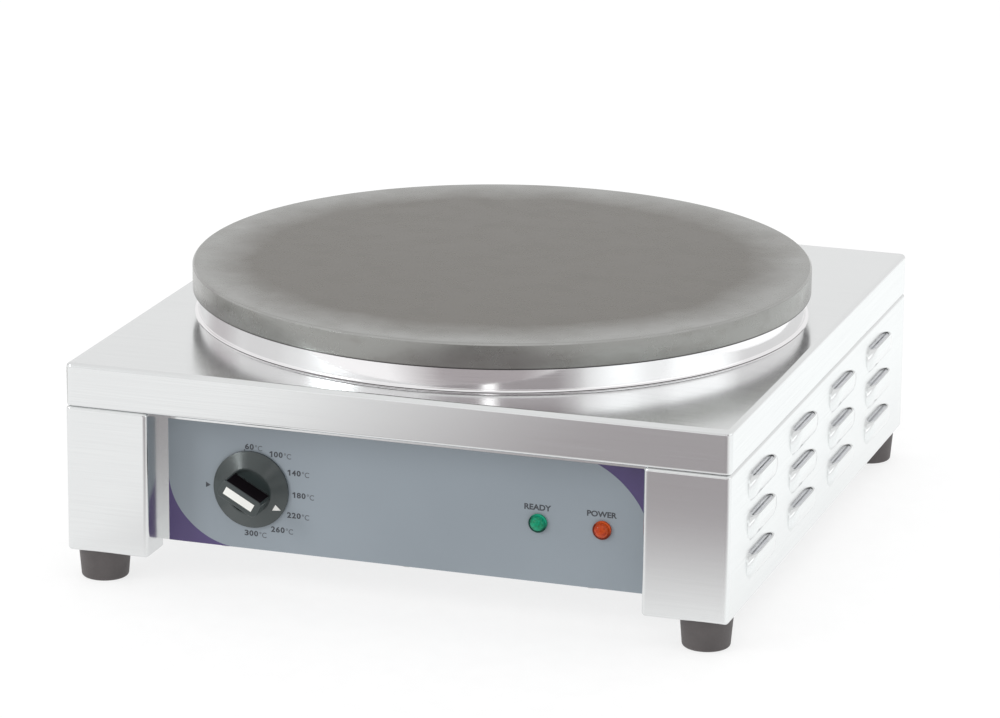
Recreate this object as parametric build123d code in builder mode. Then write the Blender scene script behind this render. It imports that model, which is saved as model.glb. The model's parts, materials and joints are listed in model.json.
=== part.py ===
from build123d import *
import os
from math import asin, atan2, cos, degrees, hypot, radians, sin, sqrt, tan

# Electric crepe maker. Millimetres, +X right, +Y back, +Z up. The origin is on the table,
# under the middle of the case.

os.makedirs("parts", exist_ok=True)

# ---------------------------------------------------------------- driving dimensions
# Case of folded stainless sheet
side_margin = 15.0
front_margin = 15.0
back_margin = 25.0
panel_height = 94.0
cover_height = 28.0
sheet = 1.0
corner_radius = 4.0
bend_radius = 3.0
hem_radius = 2.0
pillar_width = 54.5
recess_depth = 25.0
fascia_lift = 5.5
side_hem = 12.0
panel_hem = 14.0
panel_end_gap = 3.0
base_lip = 12.0
side_screw_pitch = 130.0
cross_screw_pitch = 200.0
base_screw_pitch = 120.0

# Louvres in the side panels
louvre_length = 62.0
louvre_height = 15.4
louvre_rise = 3.9
louvre_wall = 1.6
# Shares of the rise, the length and the height, from a louvre's foot to its crown
louvre_shares = [(0.0, 1.0, 1.0), (0.56, 0.89, 0.83), (0.87, 0.74, 0.62), (1.0, 0.55, 0.39)]
louvre_columns = 4
louvre_rows = 3
louvre_column_pitch = 98.0
louvre_row_pitch = 25.2
louvre_top_inset = 14.0

# Feet
foot_height = 20.0
foot_top_radius = 16.5
foot_bottom_radius = 14.8
foot_edge_radius = 2.0
foot_inset = 18.0
foot_screw_radius = 2.5
foot_head_radius = 5.0
foot_head_height = 3.0
foot_well_depth = 9.0
foot_well_gap = 1.0
foot_nut_across = 8.0

# Cooking plate and collar
plate_diameter = 400.0
plate_thickness = 16.5
plate_chamfer = 1.2
plate_overhang = 4.0
pocket_land = 22.5
pocket_depth = 4.5
collar_height = 16.0
collar_wall = 1.5
collar_flare = 2.5

# Heater under the plate
pan_collar_gap = 6.5
pan_hole_gap = 1.0
pan_sheet = 1.2
pan_depth = 20.0
pan_flange = 15.0
clamp_gap = 3.8
clamp_thickness = 1.5
insulation_gap = 1.8
element_radius = 4.0
element_rings = {"inner": 55.0, "middle": 95.0, "outer": 140.0}
element_bend = 10.0
element_leg_spacing = 18.0
element_leg_drop = 52.0
pin_radius = 1.6
pin_length = 10.0
pass_gap = 1.0
leg_window_side_gap = 4.5
leg_window_end_gap = 1.5
link_width = 7.0
link_thickness = 1.0
link_overhang = 10.0
link_lug = 3.0

# Studs and straps that pull the plate down on the case
stud_x = 100.0
stud_y = 60.0
stud_radius = 4.0
stud_seat = 6.0
stud_tail = 6.0
strap_width = 25.0
strap_thickness = 3.0
strap_foot = 20.0
strap_side_gap = 3.0
nut_height = 6.5
nut_across = 13.0

# Small fasteners
screw_radius = 1.9
screw_head_radius = 3.5
screw_head_height = 1.8
small_nut_height = 3.2
small_nut_across = 7.0

# Front controls
overlay_thickness = 0.25
overlay_side_gap = 4.5
overlay_drop = 9.0
control_rise = 44.8
knob_inset = 55.6
ready_inset = 68.9
power_inset = 27.9
lamp_drop = 1.3
lamp_flange_radius = 5.9
lamp_dome_radius = 5.0
lamp_flange_height = 1.6
lamp_dome_height = 5.0
lamp_stem_radius = 4.0
lamp_hole_gap = 0.1
lamp_body_length = 24.0
lamp_nut_height = 3.0
lamp_nut_radius = 7.0

# Knob
skirt_radius = 24.8
skirt_edge = 1.2
knob_gap = 0.6
rim_radius = 15.2
rim_height = 6.5
well_radius = 14.2
well_depth = 1.5
knob_wall = 1.5
hub_radius = 8.0
knob_height = 22.5
bar_length = 28.5
bar_width = 11.5
bar_corner = 2.5
bar_edge = 0.8
insert_length = 21.0
insert_width = 5.1
insert_depth = 1.0
insert_stand = 0.15
pointer_angle = -28.8
pointer_base_radius = 18.8
pointer_tip_radius = 23.2
pointer_width = 4.4
pointer_thickness = 0.2

# Thermostat
shaft_radius = 3.0
shaft_gap = 0.05
shaft_in_body = 19.5
shaft_in_knob = 12.0
shaft_hole_radius = 5.0
thermostat_size = 36.0
thermostat_length = 26.0
thermostat_corner = 2.0
thermostat_screw_pitch = 28.0
thermostat_screw_length = 8.0
bulb_radius = 3.0
bulb_length = 60.0
bulb_offset_y = -75.0
capillary_radius = 0.8
capillary_run = 14.0
capillary_low = 90.0
capillary_way = [(0.0, -110.0, 84.0), (-60.0, -132.0, 80.0)]
capillary_end_run = 30.0
lead_exit = 9.0
clip_spacing = 36.0
clip_length = 8.0
clip_width = 12.0

# Back of the case
gland_inset = 115.0
gland_rise = 40.0
gland_thread_radius = 10.0
gland_bore_radius = 4.2
gland_across = 24.0
gland_collar = 5.0
gland_dome = 14.0
gland_inside = 8.0
locknut_height = 5.0
post_inset = 65.0
post_rise = 30.0
post_radius = 3.0
post_shank_radius = 3.6
post_length = 17.0
post_nut_height = 5.0
post_nut_across = 10.0

# Base and what stands on it
vent_length = 50.0
vent_width = 6.0
vent_columns = 4
vent_rows = 5
vent_column_pitch = 80.0
vent_row_pitch = 30.0
block_gland_spacing = 40.0
block_back_gap = 45.0
block_width = 36.0
block_depth = 22.0
block_height = 20.0
block_pole_pitch = 11.0
block_pole_radius = 2.6
block_pole_depth = 8.0
cutout_x = 40.0
cutout_radius = 8.0
cutout_height = 10.0

# Leads: their heights at the terminal block, their bows at the elements, and points on the way
lead_radius = 1.6
lead_spread = 8.0
lead_run = 38.0
supply_rise = 70.0
supply_way = [(10.0, 100.0, 70.0), (-30.0, 20.0, 64.0), (-70.0, -60.0, 60.0)]
switched_way = [(-118.0, -80.0, 62.0)]
switched_bow = 12.0
switched_bow_height = 72.0
switched_drop = 12.0
neutral_rise = 78.0
neutral_way = [(20.0, 118.0, 76.0), (-60.0, 70.0, 74.0)]
neutral_bow = 14.0
neutral_bow_height = 76.0
neutral_drop = 10.0
earth_rise = 62.0
earth_way = [(40.0, 165.0, 58.0), (-60.0, 160.0, 54.0)]
earth_run = 45.0

# Shares and tolerances
arc_share = 0.45
near = 0.01

# ---------------------------------------------------------------- levels and planes
case_width = plate_diameter + 2 * side_margin
case_depth = plate_diameter + front_margin + back_margin
plate_offset_y = (front_margin - back_margin) / 2
cross_hem = recess_depth + panel_hem - sheet
collar_radius = plate_diameter / 2 - plate_overhang
collar_inner = collar_radius - collar_wall
pocket_radius = collar_inner - pocket_land
pan_radius = collar_inner - pan_collar_gap - pan_flange
deck_hole_radius = pan_radius + pan_hole_gap
clamp_radius = pan_radius - pan_sheet - clamp_gap
insulation_radius = pan_radius - pan_sheet - insulation_gap
panel_bottom = foot_height
panel_top = panel_bottom + panel_height
deck_top = panel_top + cover_height
deck_under = deck_top - sheet
plate_bottom = deck_top + collar_height
pocket_ceiling = plate_bottom + pocket_depth
element_level = pocket_ceiling - element_radius
clamp_top = element_level - element_radius
clamp_bottom = clamp_top - clamp_thickness
pan_bottom = deck_top - pan_depth
pan_floor = pan_bottom + pan_sheet
leg_bottom = element_level - element_leg_drop
fascia_y = -case_depth / 2 + recess_depth
back_y = case_depth / 2 - recess_depth
overlay_y = fascia_y - overlay_thickness
fascia_bottom = panel_bottom + fascia_lift
base_bottom = fascia_bottom + sheet
base_top = base_bottom + sheet
overlay_half_width = case_width / 2 - pillar_width - overlay_side_gap
overlay_top = panel_top - overlay_drop
control_height = panel_bottom + control_rise
lamp_height = control_height - lamp_drop
knob_x = knob_inset - overlay_half_width
ready_x = overlay_half_width - ready_inset
power_x = overlay_half_width - power_inset
gland_x = case_width / 2 - gland_inset
gland_height = panel_bottom + gland_rise
post_x = post_inset - case_width / 2
post_height = panel_bottom + post_rise
block_x = gland_x - block_gland_spacing
block_y = back_y - block_back_gap
foot_x = case_width / 2 - foot_inset
foot_y = case_depth / 2 - foot_inset
panel_face = case_width / 2
louvre_top = panel_top - louvre_top_inset
panel_half_width = case_width / 2 - side_hem - panel_end_gap
hem_mid = side_hem / 2
panel_hem_mid = panel_hem / 2
stud_places = [(sx * stud_x, plate_offset_y + sy * stud_y) for sx in (-1, 1) for sy in (-1, 1)]
bulb_y = plate_offset_y + bulb_offset_y
bulb_level = pocket_ceiling - bulb_radius


# ---------------------------------------------------------------- helpers
def finish(piece, name):
    """Label a finished piece and write its STEP file."""
    piece.label = name
    export_step(piece, f"parts/{name}.step")


def upright_plane(x, y, z=0.0):
    """Plane whose local Y runs up, for profiles turned about a vertical axis."""
    return Plane(origin=(x, y, z), x_dir=(1, 0, 0), z_dir=(0, -1, 0))


def forward_plane(x, y, z):
    """Plane whose local Y runs towards the front, for profiles turned about that axis."""
    return Plane(origin=(x, y, z), x_dir=(1, 0, 0), z_dir=(0, 0, -1))


def turned(plane, points):
    """Turn a profile of (radius, height) points about the plane's local Y axis."""
    with BuildPart() as piece:
        with BuildSketch(plane):
            with BuildLine():
                Polyline(*points, close=True)
            make_face()
        revolve(axis=Axis(plane.origin, plane.y_dir))
    return piece.part


def tray_block(width, depth, low, high, corner, top_radius, bottom_radius):
    """Rounded block that is the outside, or the inside, of the top cover."""
    with BuildPart() as block:
        with BuildSketch(Plane.XY.offset(low)):
            RectangleRounded(width, depth, corner)
        extrude(amount=high - low)
        fillet(block.faces().sort_by(Axis.Z)[-1].edges(), top_radius)
        fillet(block.faces().sort_by(Axis.Z)[0].edges(), bottom_radius)
    return block.part


def side_block(inset, reach):
    """Right side with its two pillars: the outside at no inset, the hollow at one sheet."""
    x_out = case_width / 2 - inset
    x_in = case_width / 2 - pillar_width + inset
    x_hem = case_width / 2 - side_hem - reach
    y_out = case_depth / 2 - inset
    y_in = case_depth / 2 - recess_depth - reach
    outline = [(x_in, -y_out), (x_out, -y_out), (x_out, y_out), (x_in, y_out),
               (x_in, y_in), (x_hem, y_in), (x_hem, -y_in), (x_in, -y_in)]
    with BuildPart() as block:
        with BuildSketch(Plane.XY.offset(panel_bottom + inset)):
            with BuildLine():
                Polyline(*outline, close=True)
            make_face()
        extrude(amount=panel_height - 2 * inset)
        outer = block.edges().filter_by(Axis.Z).filter_by(lambda e: abs(e.center().Y) > y_out - near)
        fillet(outer, bend_radius - inset)
        rims = block.edges().filter_by(
            lambda e: abs(e.bounding_box().size.Z) < near
            and abs(e.center().X - x_hem) > near
            and abs(abs(e.center().Y) - y_in) > near
        )
        fillet(rims, hem_radius - inset)
    return block.part


def outward_plane(x):
    """Plane that faces out of the right side, with its local X running towards the back."""
    return Plane(origin=(x, 0, 0), x_dir=(0, 1, 0), z_dir=(1, 0, 0))


def louvre_form(length, height, rise):
    """Domed slot shape that stands out from the right side, flat along its top edge at height zero."""
    with BuildPart() as form:
        for out, along, up in louvre_shares:
            with BuildSketch(outward_plane(panel_face + out * rise)):
                with Locations((0, -up * height / 2)):
                    SlotOverall(along * length, up * height)
        loft()
    return form.part


def cross_panel(y_face, inward):
    """Flat front or back panel with a hem turned into the case at its top and bottom."""
    y_mid = y_face + inward * panel_hem / 2
    with BuildPart() as panel:
        with BuildSketch(Plane.XY.offset(fascia_bottom)):
            with Locations((0, y_mid)):
                Rectangle(2 * panel_half_width, panel_hem)
        extrude(amount=panel_top - fascia_bottom)
        with BuildSketch(Plane.XY.offset(fascia_bottom + sheet)):
            with Locations((0, y_mid + inward * sheet)):
                Rectangle(2 * panel_half_width, panel_hem)
        extrude(amount=panel_top - fascia_bottom - 2 * sheet, mode=Mode.SUBTRACT)
    return panel.part


def upright_screws(places, head_bottom, length, radius, head_radius, head_height):
    """Screws that point up, one for each place, with their heads below."""
    with BuildPart() as screws:
        with BuildSketch(Plane.XY.offset(head_bottom)):
            with Locations(*places):
                Circle(head_radius)
        extrude(amount=head_height)
        with BuildSketch(Plane.XY.offset(head_bottom + head_height)):
            with Locations(*places):
                Circle(radius)
        extrude(amount=length)
    return screws.part


def upright_nuts(places, bottom, across, height, bore):
    """Hexagon nuts on vertical screws, one for each place."""
    with BuildPart() as nuts:
        with BuildSketch(Plane.XY.offset(bottom)):
            with Locations(*places):
                RegularPolygon(across / 2, 6, major_radius=False)
            with Locations(*places):
                Circle(bore, mode=Mode.SUBTRACT)
        extrude(amount=height)
    return nuts.part


def tube(points, radius):
    """Round tube of straight runs joined by arcs that are as large as the runs allow."""
    corners = [Vector(*p) for p in points]
    radii = []
    for before, here, after in zip(corners, corners[1:], corners[2:]):
        turn = (here - before).get_angle(after - here)
        shorter = min((here - before).length, (after - here).length)
        radii.append(arc_share * shorter / tan(radians(turn) / 2))
    with BuildPart() as piece:
        with BuildLine() as route:
            FilletPolyline(*points, radius=radii)
        with BuildSketch(Plane(origin=corners[0], z_dir=corners[1] - corners[0])):
            Circle(radius)
        sweep(path=route.wires()[0])
    return piece.part


def leg_places(ring_radius):
    """The two places where a ring element's legs go down."""
    x = -sqrt(ring_radius**2 + element_bend**2 - (element_leg_spacing / 2) ** 2)
    return [(x, plate_offset_y + side * element_leg_spacing / 2) for side in (-1, 1)]


def ring_element(ring_radius):
    """Sheathed element: an open ring with both ends bent down, and a pin in each end."""
    leg_reach = hypot(ring_radius, element_bend)
    half_gap = atan2(element_bend, ring_radius) + asin(element_leg_spacing / 2 / leg_reach)
    centre = Vector(0, plate_offset_y, element_level)
    end = centre + Vector(-cos(half_gap), sin(half_gap), 0) * ring_radius
    along = Vector(-sin(half_gap), -cos(half_gap), 0)
    down = Vector(0, 0, -1)
    leg_x, leg_y = leg_places(ring_radius)[1]
    with BuildPart() as element:
        with BuildSketch(Plane(origin=centre + Vector(ring_radius, 0, 0), z_dir=(0, 1, 0))):
            Circle(element_radius)
        revolve(axis=Axis(centre, (0, 0, 1)), revolution_arc=180 - degrees(half_gap))
        with BuildSketch(Plane(origin=end, z_dir=along)):
            Circle(element_radius)
        revolve(axis=Axis(end + down * element_bend, along.cross(down)), revolution_arc=90)
        with BuildSketch(Plane.XY.offset(leg_bottom)):
            with Locations((leg_x, leg_y)):
                Circle(element_radius)
        extrude(amount=element_level - element_bend - leg_bottom)
        with BuildSketch(Plane.XY.offset(leg_bottom - pin_length)):
            with Locations((leg_x, leg_y)):
                Circle(pin_radius)
        extrude(amount=pin_length)
        mirror(about=Plane.XZ.offset(-plate_offset_y))
    return element.part


# ---------------------------------------------------------------- case
cover_outside = tray_block(
    case_width, case_depth, panel_top, deck_top, corner_radius, bend_radius, hem_radius
)
cover_inside = tray_block(
    case_width - 2 * sheet, case_depth - 2 * sheet, panel_top + sheet, deck_under,
    corner_radius - sheet, bend_radius - sheet, hem_radius - sheet,
)
side_screw_places = [
    (sx * (case_width / 2 - hem_mid), k * side_screw_pitch) for sx in (-1, 1) for k in (-1, 0, 1)
]
cross_screw_places = [
    (k * cross_screw_pitch, sy * (back_y - panel_hem_mid)) for sy in (-1, 1) for k in (-0.5, 0.5)
]
cover_screw_places = side_screw_places + cross_screw_places
base_screw_places = [
    (k * base_screw_pitch, sy * (back_y - panel_hem_mid)) for sy in (-1, 1) for k in (-1, 0, 1)
]
foot_places = {
    "front_left": (-foot_x, -foot_y),
    "front_right": (foot_x, -foot_y),
    "back_left": (-foot_x, foot_y),
    "back_right": (foot_x, foot_y),
}

with BuildPart() as top_cover:
    add(cover_outside)
    add(cover_inside, mode=Mode.SUBTRACT)
    with BuildSketch(Plane.XY.offset(panel_top)):
        Rectangle(case_width - 2 * side_hem, case_depth - 2 * cross_hem)
        with Locations(*cover_screw_places):
            Circle(screw_radius)
    extrude(amount=sheet, mode=Mode.SUBTRACT)
    with BuildSketch(Plane.XY.offset(deck_under)):
        with Locations((0, plate_offset_y)):
            Circle(deck_hole_radius)
    extrude(amount=sheet, mode=Mode.SUBTRACT)
finish(top_cover.part, "top_cover")

side_outside = side_block(0.0, 0.0)
side_inside = side_block(sheet, 2 * sheet)
louvre_skin = louvre_form(louvre_length, louvre_height, louvre_rise)
hollow_length = louvre_length - 2 * louvre_wall
hollow_height = louvre_height - louvre_wall
louvre_hollow = louvre_form(hollow_length, hollow_height, louvre_rise - sheet)
louvre_places = [
    Location((0, (c - (louvre_columns - 1) / 2) * louvre_column_pitch, louvre_top - r * louvre_row_pitch))
    for c in range(louvre_columns)
    for r in range(louvre_rows)
]

with BuildPart() as louvre_opening:
    with BuildSketch(outward_plane(panel_face - sheet)):
        with Locations((0, -hollow_height / 2)):
            SlotOverall(hollow_length, hollow_height)
    extrude(amount=sheet)

with BuildPart() as side_panel_right:
    add(side_outside)
    add(side_inside, mode=Mode.SUBTRACT)
    with Locations(*louvre_places):
        add(louvre_skin)
    with Locations(*louvre_places):
        add(louvre_hollow, mode=Mode.SUBTRACT)
    with Locations(*louvre_places):
        add(louvre_opening.part, mode=Mode.SUBTRACT)
    with BuildSketch(Plane.XY.offset(panel_top - sheet)):
        with Locations(*[p for p in side_screw_places if p[0] > 0]):
            Circle(screw_radius)
    extrude(amount=sheet, mode=Mode.SUBTRACT)
    with BuildSketch(Plane.XY.offset(panel_bottom)):
        with Locations((foot_x, -foot_y), (foot_x, foot_y)):
            Circle(foot_screw_radius)
    extrude(amount=sheet, mode=Mode.SUBTRACT)
finish(side_panel_right.part, "side_panel_right")

with BuildPart() as side_panel_left:
    mirror(side_panel_right.part, about=Plane.YZ)
finish(side_panel_left.part, "side_panel_left")

front_blank = cross_panel(fascia_y, 1)
back_blank = cross_panel(back_y, -1)
thermostat_screw_places = [
    (0.0, side * thermostat_screw_pitch / 2) for side in (-1, 1)
]

with BuildPart() as front_panel:
    add(front_blank)
    with BuildSketch(upright_plane(0, fascia_y)):
        with Locations((knob_x, control_height)):
            Circle(shaft_hole_radius)
            with Locations(*thermostat_screw_places):
                Circle(screw_radius)
        with Locations((ready_x, lamp_height), (power_x, lamp_height)):
            Circle(lamp_stem_radius + lamp_hole_gap)
    extrude(amount=-sheet, mode=Mode.SUBTRACT)
    with BuildSketch(Plane.XY.offset(panel_top - sheet)):
        with Locations(*cross_screw_places):
            Circle(screw_radius)
    extrude(amount=sheet, mode=Mode.SUBTRACT)
    with BuildSketch(Plane.XY.offset(fascia_bottom)):
        with Locations(*base_screw_places):
            Circle(screw_radius)
    extrude(amount=sheet, mode=Mode.SUBTRACT)
finish(front_panel.part, "front_panel")

with BuildPart() as back_panel:
    add(back_blank)
    with BuildSketch(upright_plane(0, back_y)):
        with Locations((gland_x, gland_height)):
            Circle(gland_thread_radius)
        with Locations((post_x, post_height)):
            Circle(post_shank_radius)
    extrude(amount=sheet, mode=Mode.SUBTRACT)
    with BuildSketch(Plane.XY.offset(panel_top - sheet)):
        with Locations(*cross_screw_places):
            Circle(screw_radius)
    extrude(amount=sheet, mode=Mode.SUBTRACT)
    with BuildSketch(Plane.XY.offset(fascia_bottom)):
        with Locations(*base_screw_places):
            Circle(screw_radius)
    extrude(amount=sheet, mode=Mode.SUBTRACT)
finish(back_panel.part, "back_panel")

with BuildPart() as base_plate:
    with BuildSketch(Plane.XY.offset(base_bottom)):
        Rectangle(case_width - 2 * sheet, 2 * (back_y - sheet))
    extrude(amount=sheet + base_lip)
    with BuildSketch(Plane.XY.offset(base_top)):
        Rectangle(case_width - 4 * sheet, 2 * back_y)
    extrude(amount=base_lip, mode=Mode.SUBTRACT)
    with BuildSketch(Plane.XY.offset(base_bottom)):
        with GridLocations(vent_column_pitch, vent_row_pitch, vent_columns, vent_rows):
            SlotOverall(vent_length, vent_width)
        with Locations(*base_screw_places):
            Circle(screw_radius)
    extrude(amount=sheet, mode=Mode.SUBTRACT)
finish(base_plate.part, "base_plate")

# ---------------------------------------------------------------- feet
foot_well_radius = foot_head_radius + foot_well_gap
for place, (x, y) in foot_places.items():
    with BuildPart() as foot:
        with BuildSketch(upright_plane(x, y)):
            with BuildLine():
                Polyline(
                    (foot_well_radius, 0), (foot_bottom_radius, 0), (foot_top_radius, foot_height),
                    (foot_screw_radius, foot_height), (foot_screw_radius, foot_well_depth),
                    (foot_well_radius, foot_well_depth), close=True,
                )
            make_face()
        revolve(axis=Axis((x, y, 0), (0, 0, 1)))
        rim = foot.edges().group_by(Axis.Z)[0].sort_by(SortBy.LENGTH)[-1]
        fillet(rim, foot_edge_radius)
    finish(foot.part, f"foot_{place}")

foot_screw_bottom = foot_well_depth - foot_head_height
foot_nut_bottom = panel_bottom + sheet
foot_screw_length = foot_nut_bottom - foot_well_depth + small_nut_height + sheet
foot_screws = upright_screws(
    foot_places.values(), foot_screw_bottom, foot_screw_length,
    foot_screw_radius, foot_head_radius, foot_head_height,
)
finish(foot_screws, "foot_screws")
foot_nuts = upright_nuts(
    foot_places.values(), foot_nut_bottom, foot_nut_across, small_nut_height, foot_screw_radius
)
finish(foot_nuts, "foot_nuts")

# ---------------------------------------------------------------- case fasteners
fastened = 2 * sheet + small_nut_height + sheet
cover_screws = upright_screws(
    cover_screw_places, panel_top - sheet - screw_head_height, fastened,
    screw_radius, screw_head_radius, screw_head_height,
)
finish(cover_screws, "cover_screws")
cover_nuts = upright_nuts(
    cover_screw_places, panel_top + sheet, small_nut_across, small_nut_height, screw_radius
)
finish(cover_nuts, "cover_nuts")
base_screws = upright_screws(
    base_screw_places, fascia_bottom - screw_head_height, fastened,
    screw_radius, screw_head_radius, screw_head_height,
)
finish(base_screws, "base_screws")
base_nuts = upright_nuts(
    base_screw_places, base_top, small_nut_across, small_nut_height, screw_radius
)
finish(base_nuts, "base_nuts")

# ---------------------------------------------------------------- plate and collar
with BuildPart() as griddle_plate:
    with BuildSketch(Plane.XY.offset(plate_bottom)):
        with Locations((0, plate_offset_y)):
            Circle(plate_diameter / 2)
    extrude(amount=plate_thickness)
    chamfer(griddle_plate.faces().sort_by(Axis.Z)[-1].edges(), plate_chamfer)
    with BuildSketch(Plane.XY.offset(plate_bottom)):
        with Locations((0, plate_offset_y)):
            Circle(pocket_radius)
    extrude(amount=pocket_depth, mode=Mode.SUBTRACT)
    with BuildSketch(Plane.XY.offset(pocket_ceiling)):
        with Locations(*stud_places):
            Circle(stud_radius)
    extrude(amount=stud_seat, mode=Mode.SUBTRACT)
finish(griddle_plate.part, "griddle_plate")

with BuildPart() as collar_ring:
    flare_mid = collar_flare * (1 - cos(radians(45)))
    with BuildSketch(upright_plane(0, plate_offset_y, deck_top)):
        with BuildLine():
            Polyline(
                (collar_inner, 0), (collar_radius + collar_flare, 0),
                (collar_radius + collar_flare, collar_wall / 2),
            )
            ThreePointArc(
                (collar_radius + collar_flare, collar_wall / 2),
                (collar_radius + flare_mid, collar_wall / 2 + flare_mid),
                (collar_radius, collar_wall / 2 + collar_flare),
            )
            Polyline(
                (collar_radius, collar_wall / 2 + collar_flare),
                (collar_radius, collar_height), (collar_inner, collar_height), (collar_inner, 0),
            )
        make_face()
    revolve(axis=Axis((0, plate_offset_y, 0), (0, 0, 1)))
finish(collar_ring.part, "collar_ring")

# ---------------------------------------------------------------- heater
leg_windows = [(leg_places(radius)[0][0], plate_offset_y) for radius in element_rings.values()]
leg_window_length = element_leg_spacing + 2 * (element_bend + leg_window_end_gap)
leg_window_width = 2 * (element_radius + leg_window_side_gap)
capillary_x = bulb_length / 2 + capillary_run
capillary_place = (capillary_x, bulb_y)

for ring_name, ring_radius in element_rings.items():
    finish(ring_element(ring_radius), f"heating_element_{ring_name}")


def pierced_disc(radius, bottom, thickness):
    """Disc under the plate, with holes for the studs and capillary and windows for the legs."""
    with BuildPart() as disc:
        with BuildSketch(Plane.XY.offset(bottom)):
            with Locations((0, plate_offset_y)):
                Circle(radius)
            with Locations(*stud_places):
                Circle(stud_radius + pass_gap, mode=Mode.SUBTRACT)
            with Locations(*leg_windows):
                SlotOverall(leg_window_length, leg_window_width, rotation=90, mode=Mode.SUBTRACT)
            with Locations(capillary_place):
                Circle(capillary_radius + pass_gap, mode=Mode.SUBTRACT)
        extrude(amount=thickness)
    return disc.part


finish(pierced_disc(clamp_radius, clamp_bottom, clamp_thickness), "element_clamp_plate")
finish(pierced_disc(insulation_radius, pan_floor, clamp_bottom - pan_floor), "insulation_disc")

pan_floor_disc = pierced_disc(pan_radius, pan_bottom, pan_sheet)
with BuildPart() as heater_pan:
    add(pan_floor_disc)
    with BuildSketch(Plane.XY.offset(pan_floor)):
        with Locations((0, plate_offset_y)):
            Circle(pan_radius)
            Circle(pan_radius - pan_sheet, mode=Mode.SUBTRACT)
    extrude(amount=deck_top - pan_floor)
    with BuildSketch(Plane.XY.offset(deck_top)):
        with Locations((0, plate_offset_y)):
            Circle(pan_radius + pan_flange)
            Circle(pan_radius - pan_sheet, mode=Mode.SUBTRACT)
    extrude(amount=pan_sheet)
finish(heater_pan.part, "heater_pan")

strap_top = pan_bottom
strap_bottom = strap_top - strap_thickness
strap_x = pan_radius + strap_side_gap
leg_out = strap_x + strap_thickness
foot_end = strap_x + strap_foot
foot_under = deck_under - strap_thickness
for strap_name, side in (("front", -1), ("back", 1)):
    y = plate_offset_y + side * stud_y
    with BuildPart() as strap:
        with BuildSketch(upright_plane(0, y)):
            with BuildLine():
                Polyline(
                    (-foot_end, deck_under), (-foot_end, foot_under), (-leg_out, foot_under),
                    (-leg_out, strap_bottom), (leg_out, strap_bottom), (leg_out, foot_under),
                    (foot_end, foot_under), (foot_end, deck_under), (strap_x, deck_under),
                    (strap_x, strap_top), (-strap_x, strap_top), (-strap_x, deck_under), close=True,
                )
            make_face()
        extrude(amount=strap_width / 2, both=True)
        with BuildSketch(Plane.XY.offset(strap_bottom)):
            with Locations((-stud_x, y), (stud_x, y)):
                Circle(stud_radius + pass_gap)
        extrude(amount=strap_thickness, mode=Mode.SUBTRACT)
    finish(strap.part, f"support_strap_{strap_name}")

stud_bottom = strap_bottom - nut_height - stud_tail
with BuildPart() as plate_studs:
    with BuildSketch(Plane.XY.offset(stud_bottom)):
        with Locations(*stud_places):
            Circle(stud_radius)
    extrude(amount=pocket_ceiling + stud_seat - stud_bottom)
finish(plate_studs.part, "plate_studs")
finish(
    upright_nuts(stud_places, strap_bottom - nut_height, nut_across, nut_height, stud_radius),
    "stud_nuts",
)

link_bottom = leg_bottom - link_thickness
leg_xs = [leg_places(radius)[0][0] for radius in element_rings.values()]
link_low = min(leg_xs) - link_overhang
link_high = max(leg_xs) + link_overhang
for link_name, side in (("live", -1), ("neutral", 1)):
    y = plate_offset_y + side * element_leg_spacing / 2
    with BuildPart() as link:
        with BuildSketch(Plane.XY.offset(link_bottom)):
            with Locations(((link_low + link_high) / 2, y)):
                Rectangle(link_high - link_low, link_width)
            with Locations(*[(x, y) for x in leg_xs]):
                Circle(pin_radius, mode=Mode.SUBTRACT)
        extrude(amount=link_thickness)
    finish(link.part, f"element_link_{link_name}")

# ---------------------------------------------------------------- thermostat
thermostat_front = fascia_y + sheet
thermostat_back = thermostat_front + thermostat_length
screw_points = [(knob_x, control_height + dz) for _, dz in thermostat_screw_places]

with BuildPart() as thermostat_body:
    with BuildSketch(upright_plane(knob_x, thermostat_front, control_height)):
        RectangleRounded(thermostat_size, thermostat_size, thermostat_corner)
    extrude(amount=-thermostat_length)
    with BuildSketch(upright_plane(knob_x, thermostat_front, control_height)):
        Circle(shaft_radius + shaft_gap)
    extrude(amount=-(shaft_in_body + sheet), mode=Mode.SUBTRACT)
    with BuildSketch(upright_plane(knob_x, thermostat_front, control_height)):
        with Locations(*thermostat_screw_places):
            Circle(screw_radius)
    extrude(amount=-(thermostat_screw_length - sheet), mode=Mode.SUBTRACT)
finish(thermostat_body.part, "thermostat_body")

with BuildPart() as thermostat_screws:
    with BuildSketch(upright_plane(0, overlay_y)):
        with Locations(*screw_points):
            Circle(screw_radius)
    extrude(amount=-(overlay_thickness + thermostat_screw_length))
    with BuildSketch(upright_plane(0, overlay_y)):
        with Locations(*screw_points):
            Circle(screw_head_radius)
    extrude(amount=screw_head_height)
finish(thermostat_screws.part, "thermostat_screws")

with BuildPart() as thermostat_bulb:
    with BuildSketch(Plane(origin=(-bulb_length / 2, bulb_y, bulb_level), z_dir=(1, 0, 0))):
        Circle(bulb_radius)
    extrude(amount=bulb_length)
finish(thermostat_bulb.part, "thermostat_bulb")

with BuildPart() as bulb_clips:
    with BuildSketch(Plane.XY.offset(clamp_top)):
        with Locations((-clip_spacing / 2, bulb_y), (clip_spacing / 2, bulb_y)):
            Rectangle(clip_length, clip_width)
    extrude(amount=bulb_level - clamp_top)
    with BuildSketch(Plane(origin=(-bulb_length / 2, bulb_y, bulb_level), z_dir=(1, 0, 0))):
        Circle(bulb_radius)
    extrude(amount=bulb_length, mode=Mode.SUBTRACT)
finish(bulb_clips.part, "bulb_clips")

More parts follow.
